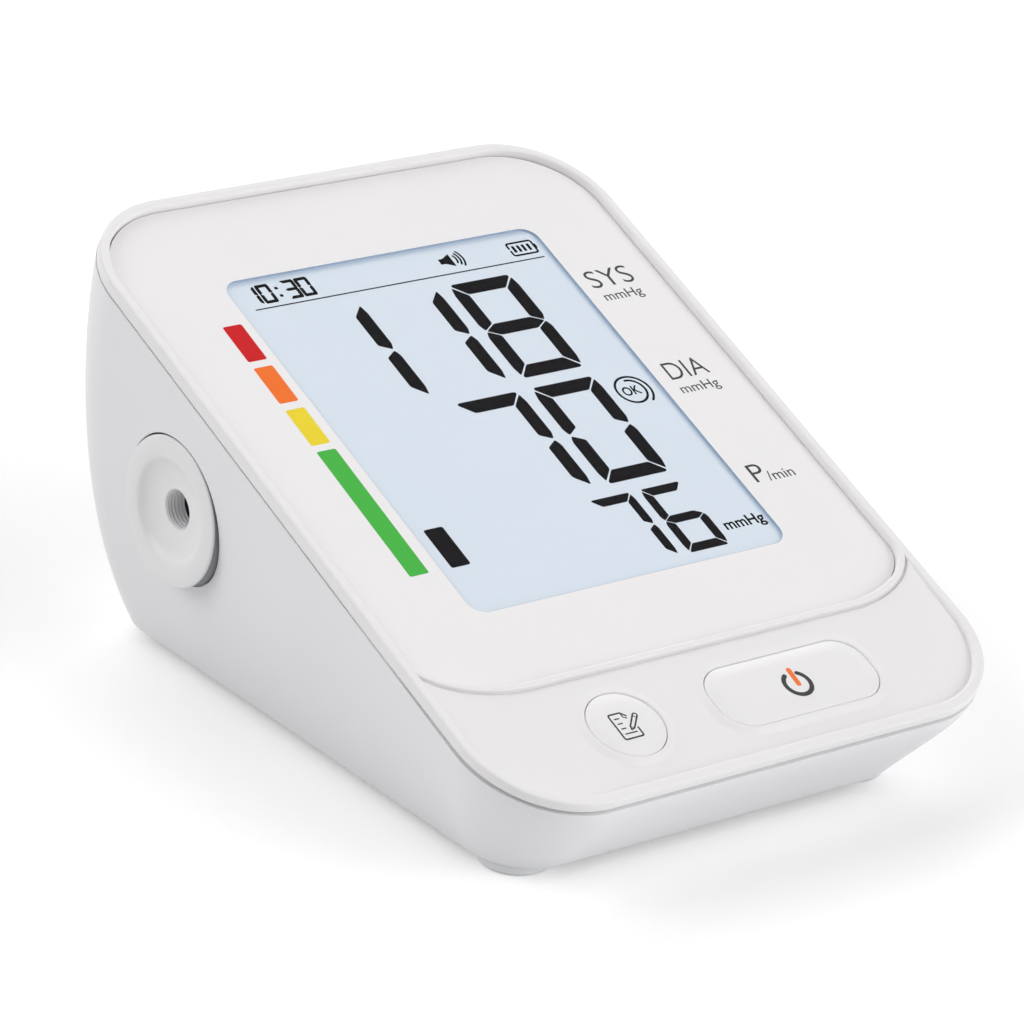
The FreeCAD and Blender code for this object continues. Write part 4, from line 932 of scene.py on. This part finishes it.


# Window: a clear acrylic lens laid on the display inside the opening, and a blue-grey lining of
# painted shade on the opening's own cut.

lens_clear = moulded("lens_clear", (120, 128, 138), (112, 120, 130), 0.06, spread=0.03,
                     bump=0.000002, Alpha=0.02)
lens_edge = window_loop(-0.07)
piece("window_lens", [slab([lens_edge, lens_edge], [-1.82, -1.66])], lens_clear, "case",
      ["display_window"])


def edge_shade_material():
    """Cut edge of the opening, painted shade: blue-grey at the brink and paler towards its foot, by
    the height over the face, which is the place's product with the face's square direction."""
    material, tree, shader = fresh("edge_shade_blue")
    place = node(tree, "TexCoord").outputs["Object"]
    height = node(tree, "VectorMath")
    height.operation = "DOT_PRODUCT"
    feed(tree, height.inputs[0], place)
    feed(tree, height.inputs[1], (0.0, -np.sin(TILT), np.cos(TILT)))
    shade_ramp = node(tree, "MapRange", From_Min=0.03983, From_Max=0.04026, Value=height.outputs["Value"])
    cloud = noise(tree, place, size=0.001, detail=2.0)
    feeds(tree, shader, Specular_IOR_Level=0.1,
          # Painted shade: blue-grey at the brink, paler at the foot
          Base_Color=blended(tree, shade_ramp.outputs["Result"], ink(178, 194, 214), ink(144, 166, 190)),
          Roughness=sums(tree, "MULTIPLY_ADD", cloud, 0.15, 0.5))
    return material


# The blue-grey lining is painted shade on the wall of the opening
cut, cut_front = window_loop(0.0), window_loop(-0.06)
piece("window_edge_shade", [slab([cut, cut, cut_front, cut_front], [-1.84, -1.41, -1.41, -1.84],
                           closed=True)], edge_shade_material(), "case")


# Face sheet: white polyester with the four bands of the reading scale and the units printed on it,
# glued into the cover's recess.
finish(moulded("sheet_white", (242, 240, 241), (240, 238, 239), 0.6, bump=0.000006,
               Specular_IOR_Level=0.1), "display_panel")
PRINT_LOW, PRINT_HIGH = -1.42, -1.38
BAND_LEFT, BAND_RIGHT, BAND_MIDDLE, BAND_LEAN = -36.2, -32.6, 104, 0.0095
for name, front, back, colour, shade in (
        ("band_red", 100.0, 108.3, (208, 39, 42), (203, 36, 40)),
        ("band_orange", 90.2, 98.5, (246, 122, 54), (242, 117, 50)),
        ("band_yellow", 80.4, 88.6, (241, 217, 60), (238, 213, 54)),
        ("band_green", 50.8, 79.0, (79, 184, 77), (75, 180, 73))):
    corners = [(across + BAND_LEAN * (up - BAND_MIDDLE), up) for across, up in (
        (BAND_LEFT, front), (BAND_RIGHT, front), (BAND_RIGHT, back), (BAND_LEFT, back))]
    piece(name, plates([softened(corners, 0.4)], PRINT_LOW, PRINT_HIGH),
          printed(name, colour, shade, gloss=0.08), "case")
piece("unit_labels",
      [lettering(words, left, right, base, cap, PRINT_LOW, PRINT_HIGH, thin)
       for words, left, right, base, cap, thin in (
           ("SYS", 34.0, 42.95, 101.3, 4.05, 0.008), ("mmHg", 34.6, 42.45, 98.1, 2.0, 0.0),
           ("DIA", 34.45, 42.55, 78.4, 3.95, 0.008), ("mmHg", 34.5, 42.4, 75.15, 2.0, 0.0),
           ("P", 34.45, 37.05, 53.6, 3.95, 0.008), ("/min", 37.1, 42.5, 53.4, 2.1, 0.0))],
      printed("label_grey", (74, 75, 77), (68, 69, 71)), "case")


# Studio: a pale floor that reads white and keeps the shadow, an even sky, and five wide soft lamps:
# a key from the front right, a low one in front, one from the back right, one high at the back left
# and one from the left. The camera stands where the photograph was taken.

def seen_directly(tree):
    """One for rays from the camera, off gloss or through glass, and nothing for other light."""
    path = node(tree, "LightPath").outputs
    bent = sums(tree, "MAXIMUM", path["Is Glossy Ray"], path["Is Transmission Ray"])
    return sums(tree, "MAXIMUM", path["Is Camera Ray"], bent)


def floor_material():
    """White floor: diffuse paper, and a small glow for direct views only, so that it reads white
    when lit."""
    material, tree, shader = fresh("floor_paper")
    tree.nodes.remove(shader)
    paper = node(tree, "BsdfDiffuse", Color=(0.9, 0.9, 0.9, 1.0))
    glow = node(tree, "Emission", Strength=sums(tree, "MULTIPLY", seen_directly(tree), 0.23))
    both = node(tree, "AddShader")
    feed(tree, both.inputs[0], paper.outputs[0])
    feed(tree, both.inputs[1], glow.outputs[0])
    feeds(tree, tree.nodes["Material Output"], Surface=both.outputs[0])
    return material


floor_mesh = bpy.data.meshes.new("floor")
floor_mesh.from_pydata([(-6, -6, 0), (6, -6, 0), (6, 6, 0), (-6, 6, 0)], [], [(0, 1, 2, 3)])
floor_mesh.materials.append(floor_material())
floor = bpy.data.objects.new("floor", floor_mesh)
bpy.context.scene.collection.objects.link(floor)

# The sky is white where it is seen and gives a tenth of that as light
world = bpy.data.worlds.new("sky")
world.use_nodes = True
bpy.context.scene.world = world
sky_tree = world.node_tree
feeds(sky_tree, sky_tree.nodes["Background"], Color=(1.0, 1.0, 1.0, 1.0),
      Strength=sums(sky_tree, "MULTIPLY_ADD", seen_directly(sky_tree), 0.9, 0.1))


def soft_lamp(name, towards, energy, spread):
    """Wide, even lamp far off in one direction: its z axis points to it, and the other two are
    square to that."""
    lamp = bpy.data.lights.new(name, "SUN")
    lamp.energy = energy
    lamp.angle = np.radians(spread)
    thing = bpy.data.objects.new(name, lamp)
    towards = np.asarray(towards) / np.linalg.norm(towards)
    side = np.cross([0.0, 1.0, 0.0], towards)
    side /= np.linalg.norm(side)
    axes = np.column_stack([side, np.cross(towards, side), towards, (0, 0, 1)])
    thing.matrix_world = Matrix(np.vstack([axes, [0, 0, 0, 1]]).tolist())
    bpy.context.scene.collection.objects.link(thing)


soft_lamp("key_lamp", (0.5, -0.75, 0.9), energy=0.8, spread=50.0)
soft_lamp("front_lamp", (0.6, -1.0, 0.3), energy=1.65, spread=50.0)
soft_lamp("back_lamp", (0.45, 0.85, 0.62), energy=0.85, spread=45.0)
soft_lamp("high_lamp", (-0.35, 0.55, 0.75), energy=0.85, spread=60.0)
soft_lamp("left_lamp", (-0.9, 0.3, 0.68), energy=1.05, spread=40.0)

camera = bpy.data.cameras.new("camera")
camera.lens = 177.45
camera.sensor_width = 36.0
camera_thing = bpy.data.objects.new("camera", camera)
camera_thing.matrix_world = Matrix(((0.78989, 0.17809, -0.58682, -0.47133),
                                    (-0.60763, 0.35650, -0.70971, -0.56492),
                                    (0.08281, 0.91716, 0.38981, 0.34501), (0.0, 0.0, 0.0, 1.0)))
bpy.context.scene.collection.objects.link(camera_thing)
bpy.context.scene.camera = camera_thing
bpy.context.scene.view_settings.view_transform = "Standard"
